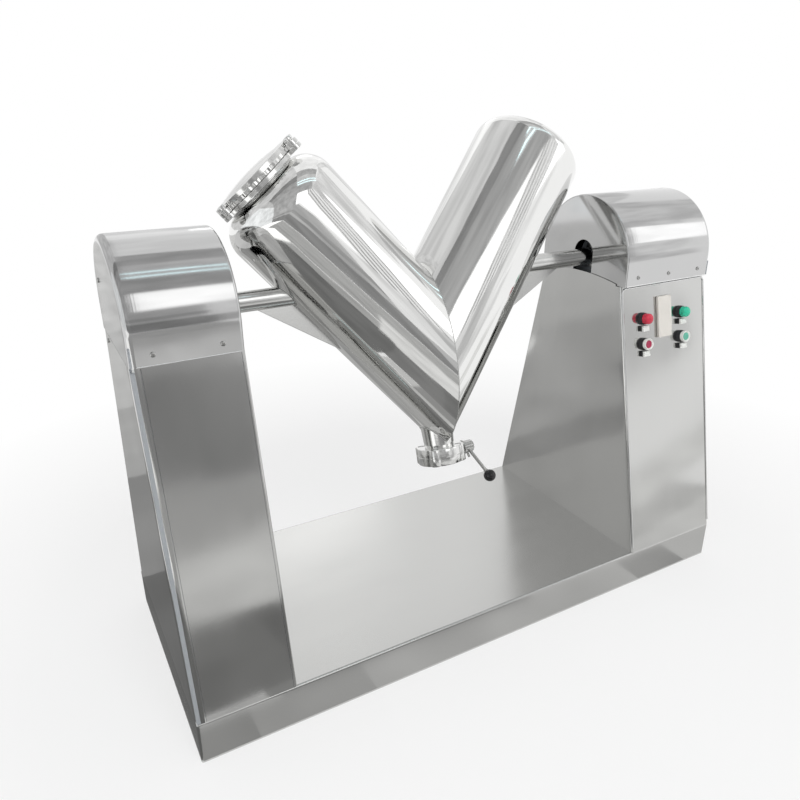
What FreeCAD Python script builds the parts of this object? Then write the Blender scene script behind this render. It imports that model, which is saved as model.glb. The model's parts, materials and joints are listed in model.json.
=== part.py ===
import FreeCAD, Part
import math
import os
import re
import Sketcher
from FreeCAD import Placement, Rotation, Vector

# V-shaped powder mixer on two pedestals. Millimetres, +X along the shaft towards the drive side,
# -Y towards the operator, +Z up. The origin is the middle of the base's underside.

os.makedirs("parts", exist_ok=True)
doc = FreeCAD.newDocument("v_blender")

# Driving dimensions
SIZES = [
    # base and pedestals
    ("base_length", 1300), ("base_depth", 516), ("base_height", 88), ("base_sheet", 3),
    ("base_edge_round", 5), ("base_rib_height", 50), ("base_rib_thick", 6), ("base_rib_inset", 90),
    ("left_width", 186), ("right_width", 265), ("skirt_level", 705), ("top_depth", 256),
    ("skin", 2), ("seam", 0.6), ("left_flange", 18), ("narrow_flange", 6), ("cover_return", 15),
    ("cover_corner", 12), ("panel_arch", 14), ("angle_leg", 30), ("angle_thick", 3),
    ("bearing_plate_thick", 10), ("drive_room", 139), ("rail_lip", 32),
    ("cover_gap", 0.5),
    # hoods
    ("shaft_level", 751), ("hood_radius", 139.5), ("hood_slot_radius", 30), ("hood_slot_rise", 9),
    ("screw_radius", 2.5), ("screw_head_radius", 4.5), ("screw_head_height", 2.4),
    ("hood_screw_level", 724), ("hood_screw_inset", 38), ("end_screw_spread", 84),
    ("end_screw_drop", 13), ("end_screw_rise", 50),
    # shaft, bearings and drive
    ("shaft_radius", 19), ("left_bearing_inset", 93), ("right_bearing_inset", 56),
    ("bearing_width", 36), ("housing_radius", 45), ("housing_foot_length", 170),
    ("housing_foot_width", 48), ("housing_foot_height", 16), ("race_seat_radius", 38),
    ("race_split_radius", 30), ("race_width", 24), ("running_gap", 0.06), ("collar_width", 12),
    ("bearing_bolt_spread", 66), ("bolt_radius", 6), ("bolt_head_radius", 9.5),
    ("bolt_head_height", 7.5), ("shaft_overhang", 16),
    ("reducer_width", 104), ("reducer_radius", 64), ("reducer_centres", 62),
    ("worm_case_radius", 38), ("worm_case_up", 58), ("worm_case_down", 65),
    ("hollow_shaft_radius", 27), ("cover_disc_radius", 52), ("cover_disc_thick", 5),
    ("torque_arm_thick", 8), ("torque_arm_width", 96), ("key_width", 10), ("key_height", 8),
    ("key_length", 60), ("end_cap_thick", 5), ("end_cap_radius", 24),
    ("motor_radius", 56), ("motor_length", 211), ("motor_flange_thick", 10),
    ("fan_cover_length", 46), ("fan_cover_radius", 54), ("terminal_box_size", 76),
    ("terminal_box_depth", 50),
    # vessel
    ("leg_radius", 118), ("leg_wall", 3), ("leg_angle", 39.2), ("mitre_offset", 63),
    ("mitre_drop", 156.5), ("vessel_tilt", 16.8), ("left_leg_length", 404),
    ("right_leg_length", 493), ("left_knuckle", 55), ("right_knuckle", 32), ("head_crown", 7),
    ("gusset_thick", 6), ("left_gusset_reach", 55), ("right_gusset_reach", 85),
    ("left_gusset_slope", 32.8), ("right_gusset_slope", 26.7),
    # charging neck and lid
    ("neck_radius", 73), ("neck_wall", 3), ("neck_rise", 11), ("flange_radius", 89),
    ("flange_thick", 8), ("lid_gap", 0.8), ("lid_rim_height", 16), ("lid_rim_width", 14),
    ("lid_crown", 7), ("lid_plate", 5), ("gasket_inner", 77), ("gasket_outer", 84),
    ("gasket_height", 3), ("gasket_gap", 0.3), ("hinge_reach", 13), ("hinge_pin_radius", 4),
    ("hinge_gap", 0.08), ("knuckle_radius", 9), ("lid_knuckle_width", 24), ("ear_width", 9),
    ("ear_gap", 0.4), ("hinge_bearing", 80), ("first_screw_bearing", 200),
    ("second_screw_bearing", 320), ("lid_screw_circle", 97), ("lid_ear_radius", 12),
    ("lid_ear_height", 9), ("lid_screw_radius", 5), ("lid_screw_tip_radius", 3.4),
    ("lid_screw_tip", 9), ("tip_clearance", 0.9), ("screw_fit", 0.08), ("grip_radius", 11),
    ("grip_height", 13),
    # discharge pipe and butterfly valve
    ("pipe_top_radius", 36), ("pipe_bottom_radius", 31), ("pipe_wall", 3), ("pipe_reach", 5),
    ("valve_radius", 45), ("valve_height", 35), ("valve_bore", 28), ("seat_radius", 31),
    ("seat_height", 19), ("disc_gap", 0.12), ("seat_bore", 27), ("disc_thick", 5),
    ("stem_radius", 5), ("stem_gap", 0.06), ("stem_hub_radius", 7), ("valve_bolt_circle", 40),
    ("valve_bolt_radius", 4), ("valve_head_radius", 6.5), ("valve_head_height", 5),
    ("valve_lobe_radius", 10.5), ("valve_head_room", 0.6), ("valve_edge", 1.5),
    ("gland_radius", 11), ("gland_reach", 9), ("index_plate_radius", 22),
    ("index_plate_thick", 3), ("hub_radius", 11), ("hub_length", 18), ("lever_length", 91),
    ("lever_radius", 3.5), ("lever_angle", 36), ("ball_radius", 12.5), ("trigger_length", 24),
    ("trigger_radius", 2.5),
    # control devices on the right front cover
    ("device_inset", 121), ("device_spread", 60), ("lamp_station", 553), ("button_station", 495.5),
    ("tag_drop", 22), ("device_hole_radius", 11), ("device_body_radius", 10.8),
    ("device_base_radius", 14), ("device_base_height", 10), ("device_body_depth", 12),
    ("device_collar_radius", 13.5), ("lens_radius", 12), ("lens_height", 17),
    ("ring_radius", 13), ("ring_height", 9), ("cap_radius", 8.6), ("cap_gap", 0.3),
    ("cap_sink", 3), ("button_travel", 4), ("button_room", 1), ("contact_width", 28),
    ("contact_length", 38), ("tag_width", 18), ("tag_height", 12), ("tag_depth", 7),
    ("tag_insert", 1), ("plate_width", 42), ("plate_length", 94), ("plate_thick", 8),
    ("plate_inset", 126), ("plate_station", 550),
]

sheet = doc.addObject("Spreadsheet::Sheet", "Sizes")
for row, (alias, value) in enumerate(SIZES, start=1):
    sheet.set(f"A{row}", alias)
    sheet.set(f"B{row}", str(value))
    sheet.setAlias(f"B{row}", alias)
doc.recompute()


class SheetSizes:
    """The sheet's cells as attributes, for the shapes that are built in code."""

    def __getattr__(self, alias):
        return float(sheet.get(alias))


size = SheetSizes()
ALIASES = {alias for alias, value in SIZES}


def sized(text):
    """Point every alias of an expression at its cell."""
    return re.sub(r"[a-z_]+", lambda word: f"Sizes.{word[0]}" if word[0] in ALIASES else word[0], text)


# Ways to lay a part's own Z axis along another axis
ALONG_Z = Rotation()
ALONG_X = Rotation(Vector(1, 1, 1), 120)
ALONG_Y = Rotation(Vector(1, 1, 1), 240)
TURNED = {"x": ALONG_X, "y": ALONG_Y, "z": ALONG_Z}

nodes = []
cuts = []


def keep(obj, label):
    """Make the object a sub-part: its label is the name of its file."""
    obj.Label = label
    nodes.append(obj)
    return obj


def put(obj, at, turn="z"):
    """Place an object at three expressions, with its own Z along the axis named by turn."""
    obj.Placement = Placement(Vector(), TURNED[turn])
    for axis, text in zip("xyz", at):
        obj.setExpression(f"Placement.Base.{axis}", sized(text))
    return obj


def primitive(kind, at, turn="z", **sizes):
    """A Part primitive whose sizes and place are expressions of the sheet."""
    obj = doc.addObject(f"Part::{kind}", kind)
    for name, text in sizes.items():
        obj.setExpression(name, sized(text))
    return put(obj, at, turn)


def box(x, y, z):
    """A box between two expressions on each axis."""
    return primitive("Box", (x[0], y[0], z[0]), Length=f"({x[1]}) - ({x[0]})",
                     Width=f"({y[1]}) - ({y[0]})", Height=f"({z[1]}) - ({z[0]})")


def cylinder(radius, length, at, turn="z"):
    return primitive("Cylinder", at, turn, Radius=radius, Height=length)


def joined(*parts):
    obj = doc.addObject("Part::MultiFuse", "Joined")
    obj.Shapes = list(parts)
    return obj


def without(base, *tools):
    obj = doc.addObject("Part::Cut", "Cut")
    obj.Base = base
    obj.Tool = tools[0] if len(tools) == 1 else joined(*tools)
    return obj


def within(base, tool):
    obj = doc.addObject("Part::Common", "Trimmed")
    obj.Base = base
    obj.Tool = tool
    return obj


def built(shape, label=None, placement=None):
    """A Part::Feature holding a shape made in code; with a label it is a sub-part."""
    obj = doc.addObject("Part::Feature", label or "Built")
    obj.Shape = shape
    if placement is not None:
        obj.Placement = placement.multiply(shape.Placement)
    return keep(obj, label) if label else obj


def new_body(label, sub_part=True):
    body = doc.addObject("PartDesign::Body", label)
    return keep(body, label) if sub_part else body


def sketch_on(body, plane, start):
    """A sketch on one of the body's own origin planes, moved along its normal by an expression."""
    sketch = body.newObject("Sketcher::SketchObject", "Profile")
    support = [item for item in body.Origin.OriginFeatures if item.Role == plane][0]
    sketch.AttachmentSupport = [(support, "")]
    sketch.MapMode = "FlatFace"
    sketch.setExpression("AttachmentOffset.Base.z", sized(start))
    return sketch


def outline(body, plane, corners, start="0"):
    """A closed sketch of straight lines whose corners are pairs of expressions."""
    sketch = sketch_on(body, plane, start)
    count = len(corners)
    for i in range(count):
        sketch.addGeometry(Part.LineSegment(Vector(i, i * i, 0), Vector(i + 1, (i + 1) ** 2, 0)), False)
    for i in range(count):
        sketch.addConstraint(Sketcher.Constraint("Coincident", i, 2, (i + 1) % count, 1))
    for i, (across, up) in enumerate(corners):
        for kind, text in (("DistanceX", across), ("DistanceY", up)):
            number = sketch.addConstraint(Sketcher.Constraint(kind, -1, 1, i, 1, 1.0))
            sketch.setExpression(f"Constraints[{number}]", sized(text))
    return sketch


def round_outline(body, plane, centre, radius, start="0"):
    """A sketch of one circle."""
    sketch = sketch_on(body, plane, start)
    sketch.addGeometry(Part.Circle(Vector(1, 1, 0), Vector(0, 0, 1), 5), False)
    constraints = [("DistanceX", centre[0]), ("DistanceY", centre[1])]
    for kind, text in constraints:
        number = sketch.addConstraint(Sketcher.Constraint(kind, -1, 1, 0, 3, 1.0))
        sketch.setExpression(f"Constraints[{number}]", sized(text))
    number = sketch.addConstraint(Sketcher.Constraint("Radius", 0, 5.0))
    sketch.setExpression(f"Constraints[{number}]", sized(radius))
    return sketch


def pad(body, sketch, length):
    feature = body.newObject("PartDesign::Pad", "Pad")
    feature.Profile = sketch
    feature.setExpression("Length", sized(length))
    return feature


def pocket(body, sketch, length):
    """A pocket that cuts along the sketch's normal; its volume is compared before export."""
    base = body.Tip
    feature = body.newObject("PartDesign::Pocket", "Pocket")
    feature.Profile = sketch
    feature.setExpression("Length", sized(length))
    feature.Reversed = True
    cuts.append((base, feature))
    return feature


def turned(label, corners, sub_part=True):
    """A body of revolution about its own Z axis from (radius, height) expressions."""
    body = new_body(label, sub_part)
    sketch = outline(body, "XZ_Plane", corners)
    feature = body.newObject("PartDesign::Revolution", "Revolution")
    feature.Profile = sketch
    feature.ReferenceAxis = (sketch, ["V_Axis"])
    feature.Angle = 360
    return body


def ring(label, inner, outer, low, high, sub_part=True):
    return turned(label, [(inner, low), (outer, low), (outer, high), (inner, high)], sub_part)


def rounded(body, radius, chosen):
    """Fillet the edges of a body that the test picks from its present shape."""
    doc.recompute()
    tip = body.Tip
    names = [f"Edge{i}" for i, edge in enumerate(tip.Shape.Edges, start=1) if chosen(edge)]
    feature = body.newObject("PartDesign::Fillet", "Fillet")
    feature.Base = (tip, names)
    feature.setExpression("Radius", sized(radius))
    return feature


# Expressions that several pieces share
SLOPE = "((base_depth - top_depth) / 2 / (skirt_level - base_height))"
RUN = f"(skin * sqrt(1 + {SLOPE} * {SLOPE}))"
LEFT_FACE = "(-base_length / 2)"
LEFT_INNER = "(-base_length / 2 + left_width)"
RIGHT_INNER = "(base_length / 2 - right_width)"
RIGHT_FACE = "(base_length / 2)"
PLATE_TOP = "(skirt_level + 1)"
REDUCER_START = f"({RIGHT_FACE} - drive_room)"


def half_depth(level):
    """Half the pedestal's depth at a level."""
    return f"(base_depth / 2 - (({level}) - base_height) * {SLOPE})"


# Base: a folded sheet tray, open below, stiffened by ribs
base_plinth = new_body("base_tray", sub_part=False)
half_rect = [("-base_length / 2", "-base_depth / 2"), ("base_length / 2", "-base_depth / 2"),
             ("base_length / 2", "base_depth / 2"), ("-base_length / 2", "base_depth / 2")]
pad(base_plinth, outline(base_plinth, "XY_Plane", half_rect), "base_height")
rounded(base_plinth, "base_edge_round",
        lambda edge: edge.CenterOfMass.z > size.base_height - 0.01 or edge.Length < size.base_height + 0.01)
inner_rect = [(across + sign_x + " base_sheet", deep + sign_y + " base_sheet")
              for (across, deep), (sign_x, sign_y) in zip(half_rect, ((" +", " +"), (" -", " +"),
                                                                      (" -", " -"), (" +", " -")))]
pocket(base_plinth, outline(base_plinth, "XY_Plane", inner_rect), "base_height - base_sheet")

RIB_LOW = "base_height - base_sheet - base_rib_height"
RIB_HIGH = "base_height - base_sheet"
rib_across = ("-base_length / 2 + base_sheet", "base_length / 2 - base_sheet")
ribs = [box(rib_across, (f"{side} - base_rib_thick / 2", f"{side} + base_rib_thick / 2"), (RIB_LOW, RIB_HIGH))
        for side in ("(-base_depth / 2 + base_rib_inset)", "(base_depth / 2 - base_rib_inset)")]
for station in (f"({LEFT_FACE} + base_rib_inset)", f"({LEFT_INNER})", f"({RIGHT_INNER})",
                f"({RIGHT_FACE} - base_rib_inset)"):
    ribs.append(box((f"{station} - base_rib_thick / 2", f"{station} + base_rib_thick / 2"),
                    ("-base_depth / 2 + base_sheet", "base_depth / 2 - base_sheet"), (RIB_LOW, RIB_HIGH)))
keep(joined(base_plinth, *ribs), "base_plinth")


# Pedestal skins: trays folded from sheet, tapered from the base to the hood
def side_profile(inset_front, inset_back, low, high):
    """The pedestal's side outline at two levels, set in from the front and the back edge."""
    return [(f"-{half_depth(low)} + {inset_front}", low), (f"{half_depth(low)} - {inset_back}", low),
            (f"{half_depth(high)} - {inset_back}", high), (f"-{half_depth(high)} + {inset_front}", high)]


def side_panel(label, face, outward, flange, top, front_set="0", front_open=False, arch=False):
    """A side sheet with a narrow flange folded inwards along its front and back edges."""
    body = new_body(f"{label}_blank" if arch else label, sub_part=not arch)
    start = face if outward < 0 else f"{face} - {flange}"
    hollow_start = f"{face} + skin" if outward < 0 else start
    pad(body, outline(body, "YZ_Plane", side_profile(front_set, "0", "base_height", top), start), flange)
    front = "(-skin)" if front_open else RUN
    inner = side_profile(front, RUN, "base_height - 5", f"{top} + 5")
    pocket(body, outline(body, "YZ_Plane", inner, hollow_start), f"{flange} - skin")
    if not arch:
        return body
    crown = f"(({half_depth('skirt_level')}) * ({half_depth('skirt_level')}) / 2 / panel_arch + panel_arch / 2)"
    disc = cylinder(crown, "base_length", ("-base_length / 2", "0", f"skirt_level + panel_arch - {crown}"), "x")
    return keep(within(body, disc), label)


ARCH_TOP = "(skirt_level + panel_arch)"
side_panel("left_outer_panel", LEFT_FACE, -1, "left_flange", "skirt_level - seam")
side_panel("left_inner_panel", LEFT_INNER, 1, "narrow_flange", ARCH_TOP, arch=True)
RETURN_SET = "cover_return + seam"
side_panel("right_inner_panel", RIGHT_INNER, -1, "narrow_flange", ARCH_TOP, RETURN_SET, True, arch=True)
side_panel("right_outer_panel", RIGHT_FACE, 1, "narrow_flange", "skirt_level - seam", RETURN_SET, True)


def slab(label, start, length, side):
    """A flat sloping sheet between two flanges, at the front (-1) or the back (+1)."""
    body = new_body(label)
    low, high = "base_height", "skirt_level - seam"
    corners = [(f"{side} * {half_depth(low)}", low), (f"{side} * {half_depth(high)}", high),
               (f"{side} * ({half_depth(high)} - {RUN})", high), (f"{side} * ({half_depth(low)} - {RUN})", low)]
    pad(body, outline(body, "YZ_Plane", corners, start), length)
    return body


LEFT_SLAB = "left_width - left_flange - narrow_flange - 2 * seam"
RIGHT_SLAB = "right_width - 2 * narrow_flange - 2 * seam"
slab("left_front_panel", f"{LEFT_FACE} + left_flange + seam", LEFT_SLAB, -1)
slab("left_back_panel", f"{LEFT_FACE} + left_flange + seam", LEFT_SLAB, 1)
slab("right_back_panel", f"{RIGHT_INNER} + narrow_flange + seam", RIGHT_SLAB, 1)

# Right front cover: a pan that wraps both side edges and carries the control devices
right_cover = new_body("right_front_cover_blank", sub_part=False)
cover_low, cover_high = "base_height", "skirt_level - seam"
cover_edge = [(f"-{half_depth(cover_low)}", cover_low), (f"-{half_depth(cover_high)}", cover_high),
              (f"-{half_depth(cover_high)} + cover_return", cover_high),
              (f"-{half_depth(cover_low)} + cover_return", cover_low)]
pad(right_cover, outline(right_cover, "YZ_Plane", cover_edge, RIGHT_INNER), "right_width")
below, above = f"{cover_low} - 5", f"{cover_high} + 5"
cover_hollow = [(f"-{half_depth(below)} + {RUN}", below), (f"-{half_depth(above)} + {RUN}", above),
                (f"-{half_depth(above)} + cover_return + 5", above),
                (f"-{half_depth(below)} + cover_return + 5", below)]
pocket(right_cover, outline(right_cover, "YZ_Plane", cover_hollow, f"{RIGHT_INNER} + skin"),
       "right_width - 2 * skin")

# Panel frame of reference: z outwards from the sloping front cover, y up along it
slope_angle = math.degrees(math.atan((size.base_depth - size.top_depth) / 2 / (size.skirt_level - size.base_height)))
panel_turn = Rotation(Vector(1, 0, 0), 90 - slope_angle)
panel_foot = Vector(0, -size.base_depth / 2, size.base_height)


def on_panel(across, station):
    """The placement of something that stands on the front cover."""
    return Placement(panel_foot + Vector(across, 0, 0) + panel_turn.multVec(Vector(0, station, 0)), panel_turn)


device_middle = size.base_length / 2 - size.right_width + size.device_inset
device_columns = (device_middle - size.device_spread, device_middle + size.device_spread)
device_rows = (size.lamp_station, size.button_station)
device_spots = [(across, station) for station in device_rows for across in device_columns]


def placed(shape, placement):
    moved = shape.copy()
    moved.Placement = placement.multiply(shape.Placement)
    return moved


def disc(radius, low, high):
    return Part.makeCylinder(radius, high - low, Vector(0, 0, low))


def tube(inner, outer, low, high):
    return disc(outer, low, high).cut(disc(inner, low, high))


holes = built(Part.makeCompound([placed(disc(size.device_hole_radius, -3 * size.skin, 3 * size.skin),
                                        on_panel(*spot)) for spot in device_spots]))
keep(without(right_cover, holes), "right_front_cover")


# Pedestal frames: steel angle posts along the four sloping corners, tied at the top
def prism(corners, start, end):
    """A solid from a polygon of (y, z) points, swept along X."""
    points = [Vector(start, y, z) for y, z in corners]
    return Part.Face(Part.makePolygon(points + points[:1])).extrude(Vector(end - start, 0, 0))


slope = (size.base_depth - size.top_depth) / 2 / (size.skirt_level - size.base_height)
sheet_run = size.skin * math.hypot(1, slope)
angle_run = size.angle_thick * math.hypot(1, slope)
plate_top = size.skirt_level + 1
plate_under = plate_top - size.bearing_plate_thick


def depth_at(level):
    return size.base_depth / 2 - (level - size.base_height) * slope


def sloping(side, outer_set, inner_set, start, end):
    """A sloping strip between two depths below the outline, from the base to the bearing plate."""
    low, high = size.base_height, plate_under
    corners = [(side * (depth_at(low) - outer_set), low), (side * (depth_at(high) - outer_set), high),
               (side * (depth_at(high) - inner_set), high), (side * (depth_at(low) - inner_set), low)]
    return prism(corners, start, end)


def pedestal_frame(label, start, end):
    """Four angle posts and a ring of flat bar under the bearing plate."""
    near, far = start + size.skin, end - size.skin
    pieces = []
    for side in (-1, 1):
        for post_from, post_to, web_from in ((near, near + size.angle_leg, near),
                                             (far - size.angle_leg, far, far - size.angle_thick)):
            pieces.append(sloping(side, sheet_run, sheet_run + angle_run, post_from, post_to))
            pieces.append(sloping(side, sheet_run, sheet_run + size.angle_leg, web_from,
                                  web_from + size.angle_thick))
        pieces.append(prism([(side * (depth_at(plate_under) - sheet_run), plate_under),
                             (side * (depth_at(plate_under) - sheet_run - angle_run), plate_under),
                             (side * (depth_at(plate_under) - sheet_run - angle_run),
                              plate_under - size.angle_leg),
                             (side * (depth_at(plate_under) - sheet_run), plate_under - size.angle_leg)],
                            near, far))
    for web_from in (near, far - size.angle_thick):
        half = depth_at(plate_under) - sheet_run
        pieces.append(Part.makeBox(size.angle_thick, 2 * half, size.angle_leg,
                                   Vector(web_from, -half, plate_under - size.angle_leg)))
    return built(pieces[0].multiFuse(pieces[1:]).removeSplitter(), label)


left_start, left_end = -size.base_length / 2, -size.base_length / 2 + size.left_width
right_start, right_end = size.base_length / 2 - size.right_width, size.base_length / 2
pedestal_frame("left_pedestal_frame", left_start, left_end)
pedestal_frame("right_pedestal_frame", right_start, right_end)


# Bearing plates with folded rails that the hoods are screwed to
def bearing_plate(label, plate_start, plate_end, rail_start, rail_end):
    plate_half = f"({half_depth(PLATE_TOP)} - {RUN} - cover_gap)"
    plate = box((plate_start, plate_end), (f"-{plate_half}", plate_half),
                (f"{PLATE_TOP} - bearing_plate_thick", PLATE_TOP))
    rail_face = "(hood_radius - skin)"
    rails = []
    for side in (-1, 1):
        foot = (f"{side} * {rail_face}", f"{side} * ({rail_face} - angle_leg)")
        lip = (f"{side} * {rail_face}", f"{side} * ({rail_face} - angle_thick)")
        foot, lip = (foot, lip) if side < 0 else (foot[::-1], lip[::-1])
        rails.append(box((rail_start, rail_end), foot, (PLATE_TOP, f"{PLATE_TOP} + angle_thick")))
        rails.append(box((rail_start, rail_end), lip, (PLATE_TOP, f"{PLATE_TOP} + rail_lip")))
    return keep(joined(plate, *rails), label)


SIDE_SET = "(skin + seam)"
bearing_plate("left_bearing_plate", f"{LEFT_FACE} + skin", f"{LEFT_INNER} - 2 * {SIDE_SET}",
              f"{LEFT_FACE} + skin", f"{LEFT_INNER} - 2 * {SIDE_SET}")
bearing_plate("right_bearing_plate", f"{RIGHT_INNER} + 2 * {SIDE_SET}",
              f"{REDUCER_START} - torque_arm_thick",
              f"{RIGHT_INNER} + 2 * {SIDE_SET}", f"{RIGHT_FACE} - skin")


# Hoods: half-round sheet covers with closed ends, slotted for the shaft
def half_round(radius, start, length):
    """A half cylinder along X with straight skirts below it."""
    round_part = primitive("Cylinder", (start, "0", "shaft_level"), "x", Radius=radius, Height=length)
    round_part.Angle = 180
    skirt = box((start, f"{start} + ({length})"), (f"-({radius})", radius), ("skirt_level", "shaft_level"))
    return joined(round_part, skirt)


def hood(label, start, length, open_side):
    outer = half_round("hood_radius", start, length)
    inner = half_round("hood_radius - skin", f"{start} + skin", f"{length} - 2 * skin")
    inner_below = box((f"{start} + skin", f"{start} + {length} - skin"),
                      ("-hood_radius + skin", "hood_radius - skin"), ("skirt_level - 1", "skirt_level + 1"))
    wall_at = start if open_side < 0 else f"{start} + {length} - skin"
    slot_low = box((f"{wall_at} - 1", f"{wall_at} + skin + 1"), ("-hood_slot_radius", "hood_slot_radius"),
                   ("skirt_level - 1", "shaft_level + hood_slot_rise"))
    slot_top = cylinder("hood_slot_radius", "skin + 2",
                        (f"{wall_at} - 1", "0", "shaft_level + hood_slot_rise"), "x")
    return keep(without(outer, inner, inner_below, slot_low, slot_top), label)


hood("left_hood", LEFT_FACE, f"left_width - {SIDE_SET}", 1)
hood("right_hood", f"({RIGHT_INNER} + {SIDE_SET})", f"(right_width - {SIDE_SET})", -1)


def domed_screw():
    """A small pan-head screw standing on z = 0, with its shank below."""
    head = Part.makeCylinder(size.screw_head_radius, size.screw_head_height)
    head = head.makeFillet(size.screw_head_height * 0.7, [head.Edges[0]])
    return head


# Cover screws: on the skirts of both hoods and on the outer end faces
screws = []
hood_spots = [left_start + size.hood_screw_inset, left_end - size.hood_screw_inset,
              right_start + size.hood_screw_inset, (right_start + right_end) / 2,
              right_end - size.hood_screw_inset]
for across in hood_spots:
    for side in (-1, 1):
        turn = Rotation(Vector(1, 0, 0), -side * 90)
        screws.append(placed(domed_screw(), Placement(Vector(across, side * size.hood_radius,
                                                             size.hood_screw_level), turn)))
for face, turn_angle in ((left_start, -90), (right_end, 90)):
    for side in (-1, 1):
        for level in (size.skirt_level - size.end_screw_drop, size.shaft_level + size.end_screw_rise):
            turn = Rotation(Vector(0, 1, 0), turn_angle)
            screws.append(placed(domed_screw(), Placement(Vector(face, side * size.end_screw_spread,
                                                                 level), turn)))
built(Part.makeCompound(screws), "cover_screws")


# Pillow block bearings
LEFT_BEARING = f"({LEFT_FACE} + left_bearing_inset)"
RIGHT_BEARING = f"({RIGHT_INNER} + right_bearing_inset)"


def pillow_block(side, centre):
    """A cast housing on its foot, with the outer race seated in it."""
    foot = box((f"{centre} - housing_foot_width / 2", f"{centre} + housing_foot_width / 2"),
               ("-housing_foot_length / 2", "housing_foot_length / 2"),
               (PLATE_TOP, f"{PLATE_TOP} + housing_foot_height"))
    barrel = cylinder("housing_radius", "bearing_width", (f"{centre} - bearing_width / 2", "0", "shaft_level"), "x")
    web = box((f"{centre} - bearing_width / 2", f"{centre} + bearing_width / 2"),
              ("-housing_radius", "housing_radius"), (PLATE_TOP, "shaft_level"))
    seat = cylinder("race_seat_radius", "bearing_width + 2",
                    (f"{centre} - bearing_width / 2 - 1", "0", "shaft_level"), "x")
    below = box((f"{centre} - bearing_width", f"{centre} + bearing_width"),
                ("-base_depth / 2", "base_depth / 2"), ("base_height", PLATE_TOP))
    bolts = [cylinder("bolt_radius", "housing_foot_height + 2",
                      (centre, f"{spot} * bearing_bolt_spread", f"{PLATE_TOP} - 1")) for spot in (-1, 1)]
    keep(without(joined(foot, barrel, web), seat, below, *bolts), f"{side}_bearing_housing")
    outer = ring(f"{side}_outer_race", "race_split_radius", "race_seat_radius",
                 "-race_width / 2", "race_width / 2", sub_part=False)
    put(outer, (centre, "0", "shaft_level"), "x")
    inner = turned(f"{side}_inner_race",
                   [("shaft_radius", "-race_width / 2 - collar_width"),
                    ("race_split_radius - running_gap - 2", "-race_width / 2 - collar_width"),
                    ("race_split_radius - running_gap - 2", "-race_width / 2"),
                    ("race_split_radius - running_gap", "-race_width / 2"),
                    ("race_split_radius - running_gap", "race_width / 2"),
                    ("shaft_radius", "race_width / 2")], sub_part=False)
    put(inner, (centre, "0", "shaft_level"), "x")
    return outer, inner


left_races = pillow_block("left", LEFT_BEARING)
right_races = pillow_block("right", RIGHT_BEARING)
keep(joined(left_races[0], right_races[0]), "bearing_outer_races")
keep(joined(left_races[1], right_races[1]), "bearing_inner_races")

bolts = []
for centre in (left_start + size.left_bearing_inset, right_start + size.right_bearing_inset):
    for side in (-1, 1):
        foot_top = plate_top + size.housing_foot_height
        shank = disc(size.bolt_radius, plate_top, foot_top)
        hexagon = Part.Face(Part.makePolygon([Vector(size.bolt_head_radius * math.cos(math.radians(60 * i)),
                                                     size.bolt_head_radius * math.sin(math.radians(60 * i)),
                                                     foot_top) for i in range(7)]))
        bolt = shank.fuse(hexagon.extrude(Vector(0, 0, size.bolt_head_height)))
        bolts.append(placed(bolt, Placement(Vector(centre, side * size.bearing_bolt_spread, 0), Rotation())))
built(Part.makeCompound(bolts), "bearing_bolts")

# Shaft-mounted worm gear reducer with its motor hanging below
REDUCER_END = f"({REDUCER_START} + reducer_width)"
DISC_FIT = "(hollow_shaft_radius + running_gap)"
gear_case = cylinder("reducer_radius", "reducer_width", (REDUCER_START, "0", "shaft_level"), "x")
worm_middle = f"({REDUCER_START} + reducer_width / 2)"
worm_case = box((f"{worm_middle} - worm_case_radius", f"{worm_middle} + worm_case_radius"),
                ("reducer_centres - worm_case_radius", "reducer_centres + worm_case_radius"),
                ("shaft_level - worm_case_down", "shaft_level + worm_case_up"))
side_cover = cylinder("cover_disc_radius", "cover_disc_thick", (REDUCER_END, "0", "shaft_level"), "x")
case_bore = cylinder(DISC_FIT, "reducer_width + 20", (f"{REDUCER_START} - 1", "0", "shaft_level"), "x")
keep(without(joined(gear_case, worm_case, side_cover), case_bore), "reducer_housing")

KEY_START = f"({REDUCER_START} + reducer_width / 2 - key_length / 2)"
KEY_AT = (("-key_width / 2", "key_width / 2"), ("shaft_level + shaft_radius - key_height / 2",
                                                "shaft_level + shaft_radius + key_height / 2"))
key_span = (KEY_START, f"{KEY_START} + key_length")
keep(box(key_span, *KEY_AT), "shaft_key")
sleeve = ring("reducer_sleeve", "shaft_radius", "hollow_shaft_radius", "0", "reducer_width + cover_disc_thick",
              sub_part=False)
put(sleeve, (REDUCER_START, "0", "shaft_level"), "x")
keep(without(sleeve, box(key_span, *KEY_AT)), "reducer_hollow_shaft")

SHAFT_END = f"({REDUCER_END} + cover_disc_thick)"
end_cap = turned("shaft_end_cap", [("0", "0"), ("end_cap_radius", "0"), ("end_cap_radius", "end_cap_thick"),
                                   ("bolt_head_radius", "end_cap_thick"),
                                   ("bolt_head_radius", "end_cap_thick + bolt_head_height"),
                                   ("0", "end_cap_thick + bolt_head_height")])
put(end_cap, (SHAFT_END, "0", "shaft_level"), "x")

arm_plate = box((f"{REDUCER_START} - torque_arm_thick", REDUCER_START),
                ("-torque_arm_width / 2", "torque_arm_width / 2"), (f"{PLATE_TOP} - bearing_plate_thick", "shaft_level"))
arm_hole = cylinder("housing_radius * 0.75", "torque_arm_thick + 2",
                    (f"{REDUCER_START} - torque_arm_thick - 1", "0", "shaft_level"), "x")
keep(without(arm_plate, arm_hole), "torque_arm")

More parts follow.
